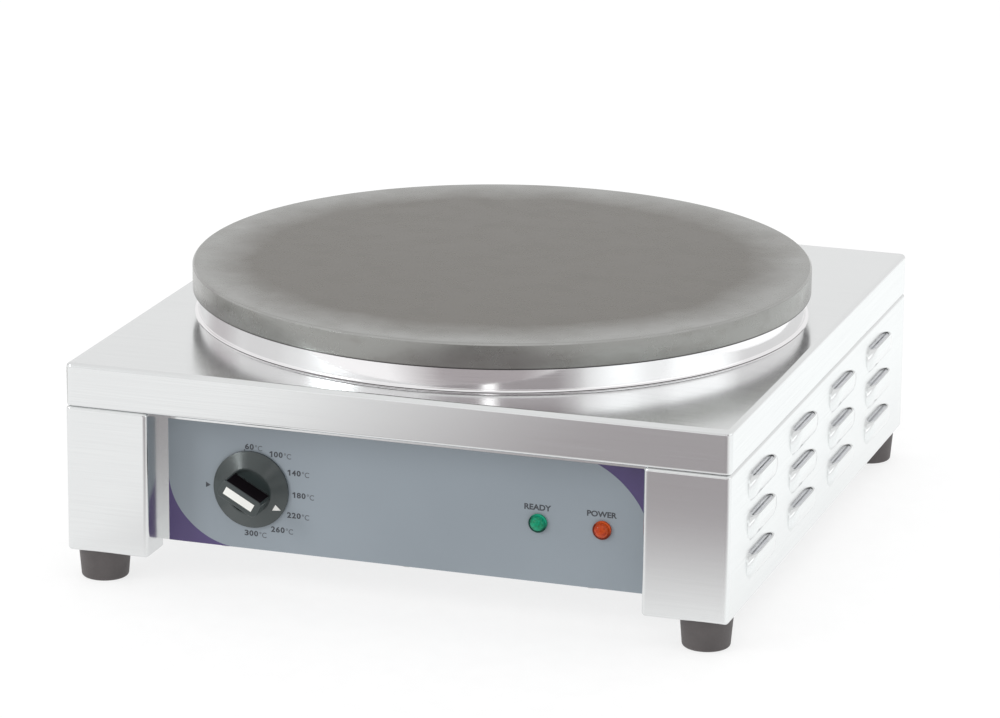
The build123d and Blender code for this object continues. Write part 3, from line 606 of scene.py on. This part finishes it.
@dataclass(frozen=True)
class TintedLens(Finish):
    """Clear tinted plastic of an indicator lamp, with a darker flange round its dome that carries painted
    light and shade.
    """

    middle: Colour
    # bright: also the painted highlight on the flange's upper right
    bright: Colour
    # rim: the flange's colour at its lower left, where it carries painted shade
    rim: Colour
    axis: Pair = (0.0, 0.0)
    dome_radius: float = 5.0 * MM
    dome_fade: Pair = (0.80, 1.02)
    flange_radius: float = 5.9 * MM
    flange_lean: float = 0.6
    flange_light: float = 0.85
    swirl_scale: float = 520.0
    swirl_from: float = 0.36
    swirl_to: float = 0.72
    swirl_share: float = 0.8
    smooth: float = 0.03
    rough: float = 0.09
    glow: float = 0.06
    index: float = 1.25
    coat: float = 0.3
    coat_rough: float = 0.04

    def fill(self, recipe: Recipe) -> None:
        """Swirl the dome's tint, and paint light and shade on the flange: a painted highlight at its upper
        right, painted shade at its lower left.

        Args:
            recipe: The material in hand.
        """
        x, _, z = recipe.split()
        across = recipe.maths(Maths.SUBTRACT, x, self.axis[0])
        up = recipe.maths(Maths.SUBTRACT, z, self.axis[1])
        swirl = recipe.noise(self.swirl_scale, 2.0)
        swirled = recipe.ranged(swirl, 0.0, self.swirl_share, self.swirl_from, self.swirl_to)
        # painted light and shade on the flange: lighter towards its upper right, darker towards its lower
        # left
        lean = recipe.maths(Maths.ADD, recipe.product(across, self.flange_lean), up)
        upper = recipe.ranged(lean, 0.0, self.flange_light, 0.0, self.flange_radius)
        start, end = (self.dome_radius * share for share in self.dome_fade)
        edge = recipe.ranged(recipe.distance(across, up), 0.0, 1.0, start, end)
        tint = recipe.mixed(edge, recipe.mixed(swirled, self.middle, self.bright),
                            recipe.mixed(upper, self.rim, self.bright))
        recipe.surface(Base_Color=tint, Emission_Color=tint, Emission_Strength=self.glow, IOR=self.index,
                       Roughness=recipe.ranged(swirl, self.smooth, self.rough), Coat_Weight=self.coat,
                       Coat_Roughness=self.coat_rough)


@dataclass(frozen=True)
class Spangled(Finish):
    """Zinc coated sheet with its crystal pattern."""

    light: Colour
    dark: Colour
    crystal: float = 8.0 * MM
    smooth: float = 0.32
    rough: float = 0.52

    def fill(self, recipe: Recipe) -> None:
        """Give each crystal its own tone and gloss.

        Args:
            recipe: The material in hand.
        """
        where = recipe.stretched((1.0 / self.crystal,) * 3)
        cells = recipe.fed(recipe.add("TexVoronoi"), Vector=where, Scale=1.0)
        tone, gloss, _ = recipe.split(cells.outputs["Color"])
        recipe.surface(Base_Color=recipe.mixed(tone, self.light, self.dark), Metallic=1.0,
                       Roughness=recipe.ranged(gloss, self.smooth, self.rough, 0.0, 1.0))


@dataclass(frozen=True)
class Ink(Finish):
    """Screen printed ink, a little uneven."""

    colour: Colour
    thin: Colour
    uneven_scale: float = 900.0
    smooth: float = 0.42
    rough: float = 0.58

    def fill(self, recipe: Recipe) -> None:
        """Thin the ink in places.

        Args:
            recipe: The material in hand.
        """
        cover = recipe.noise(self.uneven_scale, 2.0)
        recipe.surface(Base_Color=recipe.mixed(recipe.ranged(cover, 0.0, 1.0), self.colour, self.thin),
                       Roughness=recipe.ranged(cover, self.smooth, self.rough))


# ---------------------------------------------------------------- mesh making
def middle(node: str) -> Vector:
    """Find the middle of a node's box at rest.

    Args:
        node: The node's name.

    Returns:
        The point, in metres.
    """
    low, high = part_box(node)
    return (low + high) / 2


def foot_of(low: Vector, high: Vector) -> Vector:
    """Find the middle of a box's underside.

    Args:
        low: The box's lowest corner.
        high: Its highest corner.

    Returns:
        The point, in metres.
    """
    return Vector(((low.x + high.x) / 2, (low.y + high.y) / 2, low.z))


def linked(name: str, data: bpy.types.ID) -> Object:
    """Put a mesh, curve, light or camera in the scene as an object.

    Args:
        name: The object's name.
        data: What it shows.

    Returns:
        The object.
    """
    thing = bpy.data.objects.new(name, data)
    bpy.context.scene.collection.objects.link(thing)
    return thing


def placed(name: str, mesh: Mesh, material: Material, body: str) -> Object:
    """Put a finished mesh in the scene as a piece that moves with a body.

    Args:
        name: The piece's name.
        mesh: Its mesh, in the frame's own coordinates.
        material: Its finish.
        body: The body it rides on.

    Returns:
        The piece.
    """
    mesh.materials.append(material)
    piece = linked(name, mesh)
    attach(piece, body)
    return piece


def thickened(piece: Object, thickness: float) -> None:
    """Give an open sheet its thickness.

    Args:
        piece: The sheet, as its outer face.
        thickness: How thick it is, inwards from that face, in metres.
    """
    sheet = piece.modifiers.new("sheet", "SOLIDIFY")
    sheet.thickness = thickness
    sheet.offset = -1.0


def one_face(name: str, corners: list[Point]) -> Mesh:
    """Make a mesh of one flat face.

    Args:
        name: The mesh's name.
        corners: Its corners in turn, in metres.

    Returns:
        The mesh.
    """
    mesh = bpy.data.meshes.new(name)
    mesh.from_pydata(corners, [], [tuple(range(len(corners)))])
    return mesh


def turned(name: str, profile: list[Pair], axis: Vector, sides: int) -> Mesh:
    """Turn a closed profile round an upright axis.

    Args:
        name: The mesh's name.
        profile: Radius and height of each corner, in metres; a corner on the axis has a radius of nothing.
        axis: A point on the axis; its height is where the profile's heights count from.
        sides: How many steps one turn has.

    Returns:
        A smooth mesh whose edges stay sharp where the profile bends sharply.
    """
    count = len(profile)
    points, faces = [], []
    for step in range(sides):
        angle = 2 * math.pi * step / sides
        points += [(axis.x + r * math.cos(angle), axis.y + r * math.sin(angle), axis.z + z)
                   for r, z in profile]
        here, there = step * count, (step + 1) % sides * count
        faces += [(here + i, there + i, there + (i + 1) % count, here + (i + 1) % count)
                  for i in range(count)]
    mesh = bpy.data.meshes.new(name)
    mesh.from_pydata(points, [], faces)
    shape = bmesh.new()
    shape.from_mesh(mesh)
    bmesh.ops.remove_doubles(shape, verts=shape.verts, dist=WELD)
    bmesh.ops.recalc_face_normals(shape, faces=shape.faces)
    shape.to_mesh(mesh)
    shape.free()
    mesh.shade_smooth()
    mesh.set_sharp_from_angle(angle=SHARP_ANGLE)
    return mesh


# ---------------------------------------------------------------- sub-assemblies
@dataclass
class SubAssembly:
    """Nodes of the frame that belong together, with what a class adds to dress them."""

    title: str = ""

    def dress(self, finish: Finish) -> None:
        """Finish the nodes of one of the record's material slots, and report them.

        Args:
            finish: Their finish, which has the slot's name.
        """
        material = finish.material()
        for row in frame["record"]["subparts"]:
            if row["material_slot"] == finish.name:
                node = frame["nodes"][row["node"]]
                node.data.materials.clear()
                node.data.materials.append(material)
                self.report(row["node"])

    def report(self, name: str) -> None:
        """Log that a piece is finished."""
        LOG.info("%s: %s", self.title, name)


@dataclass
class SteelCase(SubAssembly):
    """Folded cover, side panels with their louvres, and the front and back panels."""

    title: str = "steel case"
    sheet: BrushedSteel = BrushedSteel("stainless", (0.775, 0.785, 0.785), (0.745, 0.755, 0.757))
    strip_metal: Spangled = Spangled("louvre_strip", (0.90, 0.91, 0.93), (0.82, 0.83, 0.86), 4.0 * MM)
    columns: int = 4
    rows: int = 3
    column_pitch: float = 98.0 * MM
    row_pitch: float = 25.2 * MM
    top_row: float = 100.0 * MM
    louvre_rise: float = 3.9 * MM
    strip_drop: float = 0.5 * MM
    strip_inner: float = 1.4 * MM
    strip_outer: float = 2.6 * MM
    strip_reach: float = 22.6 * MM
    strip_taper: float = 1.6
    strip_thickness: float = 0.3 * MM
    hole_pitch: float = 1.33 * MM
    hole_share: float = 0.30

    def strip_mesh(self, side: Side, y: float, z: float) -> Mesh:
        """Make the perforated strip of one louvre, as its upper face.

        Args:
            side: The panel it is in.
            y: Middle of the louvre along the panel.
            z: Height of its opening.

        Returns:
            A flat strip just under the opening, narrower towards the louvre's crown, with square holes.
        """
        outward = side.value
        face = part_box("side_panel_right")[1].x - self.louvre_rise
        width = self.strip_inner + self.strip_outer
        across, along = round(width / self.hole_pitch), round(2 * self.strip_reach / self.hole_pitch)

        def spot(u: float, v: float) -> Point:
            """Place a point of the strip.

            Args:
                u: Hole pitches from the strip's inner edge.
                v: Hole pitches from its front end.

            Returns:
                The point, in metres.
            """
            out = width * u / across - self.strip_inner
            reach = self.strip_reach - self.strip_taper * max(out, 0.0)
            return outward * (face + out), y + reach * (2 * v / along - 1), z - self.strip_drop

        points = [spot(i, j) for i in range(across + 1) for j in range(along + 1)]
        near, far = (1 - self.hole_share) / 2, (1 + self.hole_share) / 2
        hole = ((near, near), (far, near), (far, far), (near, far))
        row, faces = along + 1, []
        for i in range(across):
            for j in range(along):
                outer = [i * row + j, (i + 1) * row + j, (i + 1) * row + j + 1, i * row + j + 1]
                base = len(points)
                points += [spot(i + a, j + b) for a, b in hole]
                faces += [(outer[k], outer[(k + 1) % 4], base + (k + 1) % 4, base + k)[::outward]
                          for k in range(4)]
        mesh = bpy.data.meshes.new("strip")
        mesh.from_pydata(points, [], faces)
        return mesh

    def fit_strip(self, side: Side, column: int, row: int, metal: Material) -> None:
        """Fit the perforated strip of one louvre.

        Args:
            side: The panel it is in.
            column: The louvre's column, counted from the front.
            row: The louvre's row, counted from the top.
            metal: The strip's finish.
        """
        y = (column - (self.columns - 1) / 2) * self.column_pitch
        name = f"louvre_strip_{side.name.lower()}_{column + 1}_{row + 1}"
        strip = placed(name, self.strip_mesh(side, y, self.top_row - row * self.row_pitch), metal, "case")
        thickened(strip, self.strip_thickness)
        self.report(name)

    def build(self) -> None:
        """Dress the sheet and fit a strip in every louvre."""
        self.dress(self.sheet)
        metal = self.strip_metal.material()
        for side in Side:
            for column in range(self.columns):
                for row in range(self.rows):
                    self.fit_strip(side, column, row, metal)


@dataclass
class Collar(SubAssembly):
    """Polished ring between the cover and the plate, turned with a flared foot."""

    title: str = "collar"
    polish: PolishedSteel = PolishedSteel("polished_stainless", (0.90, 0.89, 0.895), (0.84, 0.825, 0.835))
    wall: float = 1.5 * MM
    flare: float = 2.5 * MM
    foot: float = 0.25 * MM
    steps: int = 12
    sides: int = 360

    def profile(self, radius: float, height: float) -> list[Pair]:
        """Work out the ring's section.

        Args:
            radius: Radius of the upright wall.
            height: Height of the ring.

        Returns:
            Radius and height of each corner.
        """
        inner, outer, centre = radius - self.wall, radius + self.flare, self.foot + self.flare
        section = [(inner, height), (inner, 0.0), (outer, 0.0)]
        for step in range(self.steps + 1):
            angle = math.radians(-90 - 90 * step / self.steps)
            section.append((outer + self.flare * math.cos(angle), centre + self.flare * math.sin(angle)))
        section.append((radius, height))
        return section

    def build(self) -> None:
        """Turn the ring in place of the frame's own."""
        low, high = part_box("collar_ring")
        section = self.profile((high.x - low.x) / 2 - self.flare, high.z - low.z)
        mesh = turned("turned_collar", section, foot_of(low, high), self.sides)
        ring = placed("turned_collar", mesh, self.polish.material(), "case")
        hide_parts("collar_ring")
        self.report("turned_collar")


@dataclass
class CookingPlate(SubAssembly):
    """The cast plate that the batter is spread on, turned with a pocket for the heater below."""

    title: str = "cooking plate"
    pocket_radius: float = 172.0 * MM
    pocket_depth: float = 4.5 * MM
    chamfer: float = 1.2 * MM
    edge_round: float = 0.35 * MM
    edge_land: float = 3.6 * MM
    round_steps: int = 4
    sides: int = 400
    rings: int = 12

    def rounded(self, corner: Pair, start: float, turn: float) -> list[Pair]:
        """Round one convex corner of the section.

        Args:
            corner: Radius and height of the corner before rounding.
            start: Direction of the first side's outward normal, in degrees.
            turn: How far the normal turns at the corner, in degrees.

        Returns:
            The points of the rounding.
        """
        first, last = math.radians(start), math.radians(start + turn)
        between = (first + last) / 2
        back = self.edge_round / math.cos((last - first) / 2)
        centre = (corner[0] - back * math.cos(between), corner[1] - back * math.sin(between))
        angles = [first + (last - first) * step / self.round_steps for step in range(self.round_steps + 1)]
        return [(centre[0] + self.edge_round * math.cos(a), centre[1] + self.edge_round * math.sin(a))
                for a in angles]

    def profile(self, radius: float, thickness: float) -> list[Pair]:
        """Work out the plate's section.

        Args:
            radius: Radius of the plate.
            thickness: Thickness of the plate.

        Returns:
            Radius and height of each corner.
        """
        pocket, depth = self.pocket_radius, self.pocket_depth
        section = [(0.0, depth), (pocket, depth), (pocket, 0.0)]
        section += self.rounded((radius, 0.0), -90, 90)
        section += self.rounded((radius, thickness - self.chamfer), 0, 45)
        section += self.rounded((radius - self.chamfer, thickness), 45, 45)
        inner = radius - self.edge_land
        section += [(inner * step / self.rings, thickness) for step in range(self.rings, -1, -1)]
        return section

    def build(self) -> None:
        """Turn the plate in place of the frame's own, and dress it."""
        low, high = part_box("griddle_plate")
        axis, radius = foot_of(low, high), (high.x - low.x) / 2
        mesh = turned("turned_plate", self.profile(radius, high.z - low.z), axis, self.sides)
        iron = SeasonedIron("plate_iron", axis.y, radius, low.z, high.z)
        plate = placed("turned_plate", mesh, iron.material(), "case")
        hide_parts("griddle_plate")
        self.report("turned_plate")


@dataclass
class Feet(SubAssembly):
    """The four rubber feet."""

    title: str = "feet"
    rubber: Moulded = Moulded("foot_rubber", (0.090, 0.080, 0.080), (0.070, 0.062, 0.062), 0.50, 0.65,
                              grain=1.2 * MM)

    def build(self) -> None:
        """Dress the feet."""
        self.dress(self.rubber)


@dataclass
class ControlKnob(SubAssembly):
    """The thermostat's knob with its white bar and pointer."""

    title: str = "control knob"
    mark: Moulded = Moulded("white_plastic", (0.80, 0.80, 0.77), (0.74, 0.74, 0.71), 0.35, 0.45)

    def build(self) -> None:
        """Dress the knob and its marks."""
        axis = middle("thermostat_shaft")
        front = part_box("control_knob")[0].y
        self.dress(KnobPlastic("knob_plastic", (axis.x, axis.z), front))
        self.dress(self.mark)


@dataclass
class Lamps(SubAssembly):
    """The two indicator lamps' lenses."""

    title: str = "lamps"
    ready: TintedLens = TintedLens("green_lens", (0.0, 0.17, 0.075), (0.0, 0.34, 0.19), (0.0, 0.040, 0.028))
    power: TintedLens = TintedLens("orange_lens", (0.34, 0.026, 0.001), (0.56, 0.075, 0.006),
                                   (0.12, 0.010, 0.0))

    def build(self) -> None:
        """Dress the lenses."""
        for lens, finish in (("ready_lamp_lens", self.ready), ("power_lamp_lens", self.power)):
            axis = middle(lens)
            self.dress(replace(finish, axis=(axis.x, axis.z)))


@dataclass
class Insides(SubAssembly):
    """Heater, fasteners, wiring, and the fittings at the back."""

    title: str = "insides and back"
    finishes: tuple[Finish, ...] = (
        Spangled("galvanised", (0.62, 0.63, 0.64), (0.48, 0.49, 0.51)),
        BrushedSteel("fastener_steel", (0.66, 0.66, 0.64), (0.56, 0.56, 0.54), smooth=0.28, rough=0.42,
                     grain_length=4.0 * MM, grain_width=0.4 * MM, patch=10.0 * MM),
        Moulded("element_sheath", (0.22, 0.20, 0.19), (0.15, 0.12, 0.11), 0.40, 0.55, metallic=0.9),
        Moulded("insulation", (0.72, 0.68, 0.58), (0.60, 0.56, 0.47), 0.9, 1.0, grain=2.0 * MM,
                depth=0.6 * MM),
        Moulded("copper_parts", (0.72, 0.42, 0.27), (0.60, 0.32, 0.20), 0.25, 0.40, metallic=1.0),
        Moulded("dark_plastic", (0.035, 0.035, 0.037), (0.025, 0.025, 0.027), 0.38, 0.52),
        Moulded("terminal_plastic", (0.78, 0.77, 0.72), (0.70, 0.69, 0.64), 0.45, 0.60),
        Moulded("lead_insulation", (0.36, 0.10, 0.06), (0.28, 0.075, 0.045), 0.50, 0.65),
    )

    def build(self) -> None:
        """Dress everything that the case holds."""
        for finish in self.finishes:
            self.dress(finish)


@dataclass(frozen=True)
class FigureOne:
    """The figure 1 of the dial, with a flag, given in shares of its width and height."""

    x: float
    z: float
    width: float
    height: float
    stem: float = 0.34
    stem_end: float = 0.80
    shoulder: float = 0.2
    flag_end: float = 0.12
    flag_top: float = 0.84
    flag_low: float = 0.60
    flag_rise: float = 0.12

    def mesh(self, y: float) -> Mesh:
        """Make the figure's mesh, upright and facing the front.

        Args:
            y: The plane it lies in, in metres.

        Returns:
            A mesh in the frame's own coordinates.
        """
        left = self.stem_end - self.stem
        shares = [(left, 0.0), (self.stem_end, 0.0), (self.stem_end, 1.0),
                  (left + self.stem * self.shoulder, 1.0), (self.flag_end, self.flag_top),
                  (self.flag_end, self.flag_low), (left, self.flag_low + self.flag_rise)]
        return one_face("one", [(self.x + (u - 0.5) * self.width, y, self.z + (v - 0.5) * self.height)
                                for u, v in shares])


@dataclass(frozen=True)
class Lettering:
    """A short text printed on the film."""

    text: str
    x: float
    z: float
    width: float
    height: float
    bold: float
    curve_steps: int = 4

    def mesh(self, y: float) -> Mesh:
        """Make the text's mesh, upright and facing the front.

        Args:
            y: The plane it lies in, in metres.

        Returns:
            A mesh in the frame's own coordinates.
        """
        curve = bpy.data.curves.new("letters", "FONT")
        curve.body = self.text
        curve.align_x, curve.align_y = "LEFT", "BOTTOM_BASELINE"
        curve.offset = self.bold
        curve.resolution_u = self.curve_steps
        holder = linked("letters", curve)
        bpy.context.view_layer.update()
        flat = bpy.data.meshes.new_from_object(holder.evaluated_get(bpy.context.evaluated_depsgraph_get()))
        bpy.data.objects.remove(holder)
        xs = [v.co.x for v in flat.vertices]
        ys = [v.co.y for v in flat.vertices]
        left, low = min(xs), min(ys)
        wide, tall = max(xs) - left, max(ys) - low
        for v in flat.vertices:
            across, up = (v.co.x - left) / wide - 0.5, (v.co.y - low) / tall - 0.5
            v.co = (self.x + across * self.width, y, self.z + up * self.height)
        return flat


@dataclass
class ControlFilm(SubAssembly):
    """The film on the front panel, with dial figures, degree signs, marks and lamp names printed on it.

    The dial's numbers and marks are placed in millimetres from the knob's axis.
    """

    title: str = "control film"
    film: TwoToneFilm = TwoToneFilm("overlay_film", (0.262, 0.300, 0.335), (0.072, 0.050, 0.150), (
        FilmCorner(-113.1 * MM, 70.9 * MM, 43.0 * MM, Quarter.LOWER_LEFT, tip=0.054),
        FilmCorner(97.6 * MM, 47.2 * MM, 63.8 * MM, Quarter.UPPER_RIGHT)))
    ink: Ink = Ink("dark_ink", (0.036, 0.040, 0.048), (0.055, 0.060, 0.070))
    pale_ink: Ink = Ink("pale_ink", (0.085, 0.095, 0.110), (0.115, 0.125, 0.140))
    thickness: float = 0.03 * MM
    bold: float = 0.034
    figure_height: float = 3.7 * MM
    figure_pitch: float = 3.15 * MM
    figure_width: float = 2.75 * MM
    unit: str = "°C"
    unit_bold: float = 0.012
    unit_width: float = 4.8 * MM
    unit_gap: float = 0.6 * MM
    unit_drop: float = 0.4 * MM
    dial: dict[int, Pair] = field(default_factory=lambda: {
        60: (1.3, 27.4), 100: (18.9, 24.1), 140: (30.8, 13.3), 180: (34.0, -1.0),
        220: (30.7, -14.4), 260: (20.0, -24.8), 300: (2.3, -29.0),
    })
    off_mark: Pair = (-29.0, -0.3)
    off_size: Pair = (3.2, 3.6)
    rim_tick: Pair = (-4.6, 24.9)
    tick_size: float = 0.8 * MM
    lamp_words: tuple[tuple[str, str, float], ...] = (
        ("READY", "ready_lamp_lens", 17.3 * MM),
        ("POWER", "power_lamp_lens", 19.1 * MM),
    )
    name_shift: float = -0.4 * MM
    name_rise: float = 9.9 * MM
    name_height: float = 3.8 * MM

    def plane(self) -> float:
        """Find the plane that the ink's face lies in, as a y value in metres."""
        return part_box("fascia_overlay")[0].y - self.thickness

    def spot(self, offset: Pair) -> Pair:
        """Find a place on the film.

        Args:
            offset: The place from the knob's axis, across and up, in millimetres.

        Returns:
            Its X and Z, in metres.
        """
        knob = middle("thermostat_shaft")
        return knob.x + offset[0] * MM, knob.z + offset[1] * MM

    def half_width(self, value: int) -> float:
        """Work out half the width of a dial number with its unit, in metres."""
        return (self.figure_pitch * len(str(value)) + self.unit_gap + self.unit_width) / 2

    def figures(self) -> list[Mesh]:
        """Make the dial's numbers, figure by figure.

        Returns:
            Their meshes.
        """
        shapes = []
        for value, offset in self.dial.items():
            x, z = self.spot(offset)
            start = x - self.half_width(value) + self.figure_pitch / 2
            for place, figure in enumerate(str(value)):
                across = start + place * self.figure_pitch
                if figure == "1":
                    shape = FigureOne(across, z, self.figure_width, self.figure_height)
                else:
                    shape = Lettering(figure, across, z, self.figure_width, self.figure_height, self.bold)
                shapes.append(shape.mesh(self.plane()))
        return shapes

    def units(self) -> list[Mesh]:
        """Make the degree signs and their letters, after each number.

        Returns:
            Their meshes.
        """
        shapes = []
        for value, offset in self.dial.items():
            x, z = self.spot(offset)
            centre = x + self.half_width(value) - self.unit_width / 2
            text = Lettering(self.unit, centre, z - self.unit_drop, self.unit_width, self.figure_height,
                             self.unit_bold)
            shapes.append(text.mesh(self.plane()))
        return shapes

    def marks(self) -> list[Mesh]:
        """Make the triangle that points at the knob where it is off, and the tick at the knob's rim.

        Returns:
            Their meshes.
        """
        y = self.plane()
        x, z = self.spot(self.off_mark)
        half_wide, half_tall = (size * MM / 2 for size in self.off_size)
        arrow = [(x - half_wide, y, z - half_tall), (x + half_wide, y, z), (x - half_wide, y, z + half_tall)]
        x, z = self.spot(self.rim_tick)
        half = self.tick_size / 2
        tick = [(x + u * half, y, z + v * half) for u, v in SQUARE]
        return [one_face("arrow", arrow), one_face("tick", tick)]

    def names(self) -> list[Mesh]:
        """Make the words over the two lamps.

        Returns:
            Their meshes.
        """
        shapes = []
        for word, lens, wide in self.lamp_words:
            lamp = middle(lens)
            text = Lettering(word, lamp.x + self.name_shift, lamp.z + self.name_rise, wide, self.name_height,
                             self.bold)
            shapes.append(text.mesh(self.plane()))
        return shapes

    def printed(self, name: str, meshes: list[Mesh], ink: Ink) -> None:
        """Join printed shapes into one piece of ink.

        Args:
            name: The piece's name.
            meshes: The shapes.
            ink: The ink they are printed with.
        """
        points, faces = [], []
        for mesh in meshes:
            base = len(points)
            points += [tuple(v.co) for v in mesh.vertices]
            faces += [tuple(base + i for i in p.vertices) for p in mesh.polygons]
            bpy.data.meshes.remove(mesh)
        whole = bpy.data.meshes.new(name)
        whole.from_pydata(points, [], faces)
        piece = placed(name, whole, ink.material(), "case")
        thickened(piece, self.thickness)
        self.report(name)

    def build(self) -> None:
        """Dress the film and print on it."""
        self.dress(self.film)
        self.printed("dial_figures", self.figures(), self.ink)
        self.printed("dial_units", self.units(), self.pale_ink)
        self.printed("dial_marks", self.marks(), self.ink)
        self.printed("lamp_names", self.names(), self.ink)


# ---------------------------------------------------------------- studio
@dataclass(frozen=True)
class SoftBox:
    """A soft rectangular light that faces the object; only the cards show in reflections."""

    name: str
    place: Point
    size: Pair
    power: float
    aim: Point = (0.0, 0.0, 0.1)

    def hang(self) -> None:
        """Put the light in the scene."""
        light = bpy.data.lights.new(self.name, "AREA")
        light.shape = "RECTANGLE"
        light.size, light.size_y = self.size
        light.energy = self.power
        holder = linked(self.name, light)
        holder.location = self.place
        holder.rotation_euler = (Vector(self.aim) - Vector(self.place)).to_track_quat("-Z", "Y").to_euler()
        holder.visible_camera = holder.visible_glossy = False


@dataclass(frozen=True)
class GreyCard:
    """A soft-edged card that only polished surfaces see, as a studio uses to shape reflections.

    Its fade starts at a share of its half size, and a falloff over 1 gathers its light in the middle.
    """

    name: str
    place: Point
    size: Pair
    tone: Colour
    fade_from: float = 0.5
    stands: bool = False
    falloff: float = 1.0

    def material(self) -> Material:
        """Make the card's glow, which fades to nothing at its edges.

        Returns:
            The material.
        """
        recipe = Recipe(self.name)
        shares = [recipe.maths(Maths.ABSOLUTE, recipe.maths(Maths.DIVIDE, place, size / 2))
                  for place, size in zip(recipe.split(), self.size)]
        fade = recipe.ranged(recipe.maths(Maths.MAXIMUM, *shares), 1.0, 0.0, self.fade_from, 1.0)
        clear, paint = recipe.add("BsdfTransparent"), recipe.add("Emission", (*self.tone, 1.0))
        both = recipe.add("MixShader", recipe.maths(Maths.POWER, fade, self.falloff), clear.outputs[0],
                          paint.outputs[0])
        recipe.fed(recipe.tree.nodes["Material Output"], Surface=both.outputs[0])
        return recipe.material

    def set_up(self) -> None:
        """Put the card in the scene; one that stands faces the object."""
        wide, deep = (size / 2 for size in self.size)
        mesh = one_face(self.name, [(u * wide, v * deep, 0) for u, v in SQUARE])
        mesh.materials.append(self.material())
        card = linked(self.name, mesh)
        card.location = self.place
        if self.stands:
            card.rotation_euler = (math.pi / 2, 0.0, math.atan2(self.place[0], -self.place[1]))
        card.visible_camera = card.visible_diffuse = card.visible_shadow = card.visible_transmission = False


@dataclass
class Studio:
    """Pale floor with a glow of its own, white surroundings, soft lights and cards."""

    floor_size: float = 24.0
    floor_paper: Moulded = Moulded("floor_paper", (0.24, 0.24, 0.24), (0.22, 0.22, 0.22), 0.8, 0.9, glow=0.74)
    sky: float = 0.93
    lights: tuple[SoftBox, ...] = (
        SoftBox("key_light", (-2.00, -1.90, 1.40), (0.65, 1.2), 20.0),
        SoftBox("top_light", (0.2, 0.3, 2.6), (2.0, 1.8), 10.0),
    )
    # Each card's name, place, size, tone, start of its fade, whether it stands, and its falloff.
    cards: tuple[GreyCard, ...] = (
        GreyCard("front_card", (0.155, -0.62, 0.004), (0.79, 0.72), (0.42, 0.39, 0.40), 0.42),
        GreyCard("room_card", (1.10, -3.30, 0.98), (4.2, 1.7), (0.40, 0.37, 0.38), 0.6, True),
        GreyCard("left_room_card", (-2.90, 1.15, 0.90), (1.9, 1.3), (0.68, 0.65, 0.66), 0.3, True),
        GreyCard("dark_card", (0.26, -1.14, 0.006), (0.60, 0.70), (0.03, 0.02, 0.02), 0.60),
        GreyCard("left_floor_card", (-0.72, -0.02, 0.004), (0.34, 0.42), (0.20, 0.19, 0.17), 0.2),
        GreyCard("strip_card", (0.72, -2.90, 0.95), (0.34, 1.1), (3.0, 3.0, 3.0), 0.0, True),
        GreyCard("key_card", (-1.98, -1.82, 1.42), (1.30, 0.62), (34.0, 37.0, 37.0), 0.10, True, 3.0),
        GreyCard("left_glow_card", (-1.90, -1.80, 0.80), (2.5, 0.85), (1.25, 1.27, 1.27), 0.0, True),
        GreyCard("glow_card", (2.20, -1.15, 0.78), (1.5, 1.1), (1.65, 1.7, 1.7), 0.0, True),
        GreyCard("right_wall_card", (2.80, 0.25, 0.85), (2.4, 1.2), (1.5, 1.53, 1.53), 0.4, True),
        GreyCard("side_card", (0.50, 0.28, 0.003), (0.62, 1.6), (1.15, 1.17, 1.17), 0.7),
    )

    def lay_floor(self) -> None:
        """Lay the floor."""
        half = self.floor_size / 2
        mesh = one_face("floor", [(u * half, v * half, 0) for u, v in SQUARE])
        mesh.materials.append(self.floor_paper.material())
        floor = linked("floor", mesh)

    def surround(self) -> None:
        """Make the surroundings white."""
        world = bpy.data.worlds.new("surroundings")
        bpy.context.scene.world = world
        world.use_nodes = True
        backdrop = world.node_tree.nodes["Background"]
        backdrop.inputs["Color"].default_value = WHITE
        backdrop.inputs["Strength"].default_value = self.sky
        bpy.context.scene.view_settings.view_transform = "Standard"

    def build(self) -> None:
        """Set up the studio and report it."""
        self.lay_floor()
        self.surround()
        for light in self.lights:
            light.hang()
        for card in self.cards:
            card.set_up()
        LOG.info("studio: %d lights, %d cards", len(self.lights), len(self.cards))


@dataclass(frozen=True)
class Viewpoint:
    """The camera: a long lens, a little to the right of the controls and above them."""

    azimuth: float = 18.172
    elevation: float = 16.167
    roll: float = 0.528
    distance: float = 3.0871
    aim_right: float = -0.00237
    aim_up: float = 0.00559
    aim_height: float = 0.100
    lens: float = 170.46
    sensor: float = 36.0
    clip_end: float = 100.0

    def build(self) -> None:
        """Put the camera in the scene."""
        turn, rise, tip = (math.radians(a) for a in (self.azimuth, self.elevation, self.roll))
        back = Vector((math.sin(turn) * math.cos(rise), -math.cos(turn) * math.cos(rise), math.sin(rise)))
        level = (-back).cross(Vector((0, 0, 1))).normalized()
        upright = level.cross(-back)
        right = level * math.cos(tip) + upright * math.sin(tip)
        up = upright * math.cos(tip) - level * math.sin(tip)
        target = right * self.aim_right + Vector((0, 0, self.aim_height)) + up * self.aim_up
        data = bpy.data.cameras.new("camera")
        data.lens, data.sensor_width, data.clip_end = self.lens, self.sensor, self.clip_end
        camera = linked("camera", data)
        facing = Matrix((right, up, back)).transposed().to_4x4()
        camera.matrix_world = Matrix.Translation(target + back * self.distance) @ facing
        bpy.context.scene.camera = camera
        LOG.info("camera: lens %.1f mm, %.2f m away", self.lens, self.distance)


def main() -> None:
    """Build the object's looks piece by piece, and the studio round it."""
    logging.basicConfig(level=logging.INFO, format="%(name)s: %(message)s")
    Viewpoint().build()
    for part in (SteelCase(), Collar(), CookingPlate(), Feet(), ControlFilm(), ControlKnob(), Lamps(),
                 Insides(), Studio()):
        part.build()


if __name__ == "__main__":
    main()
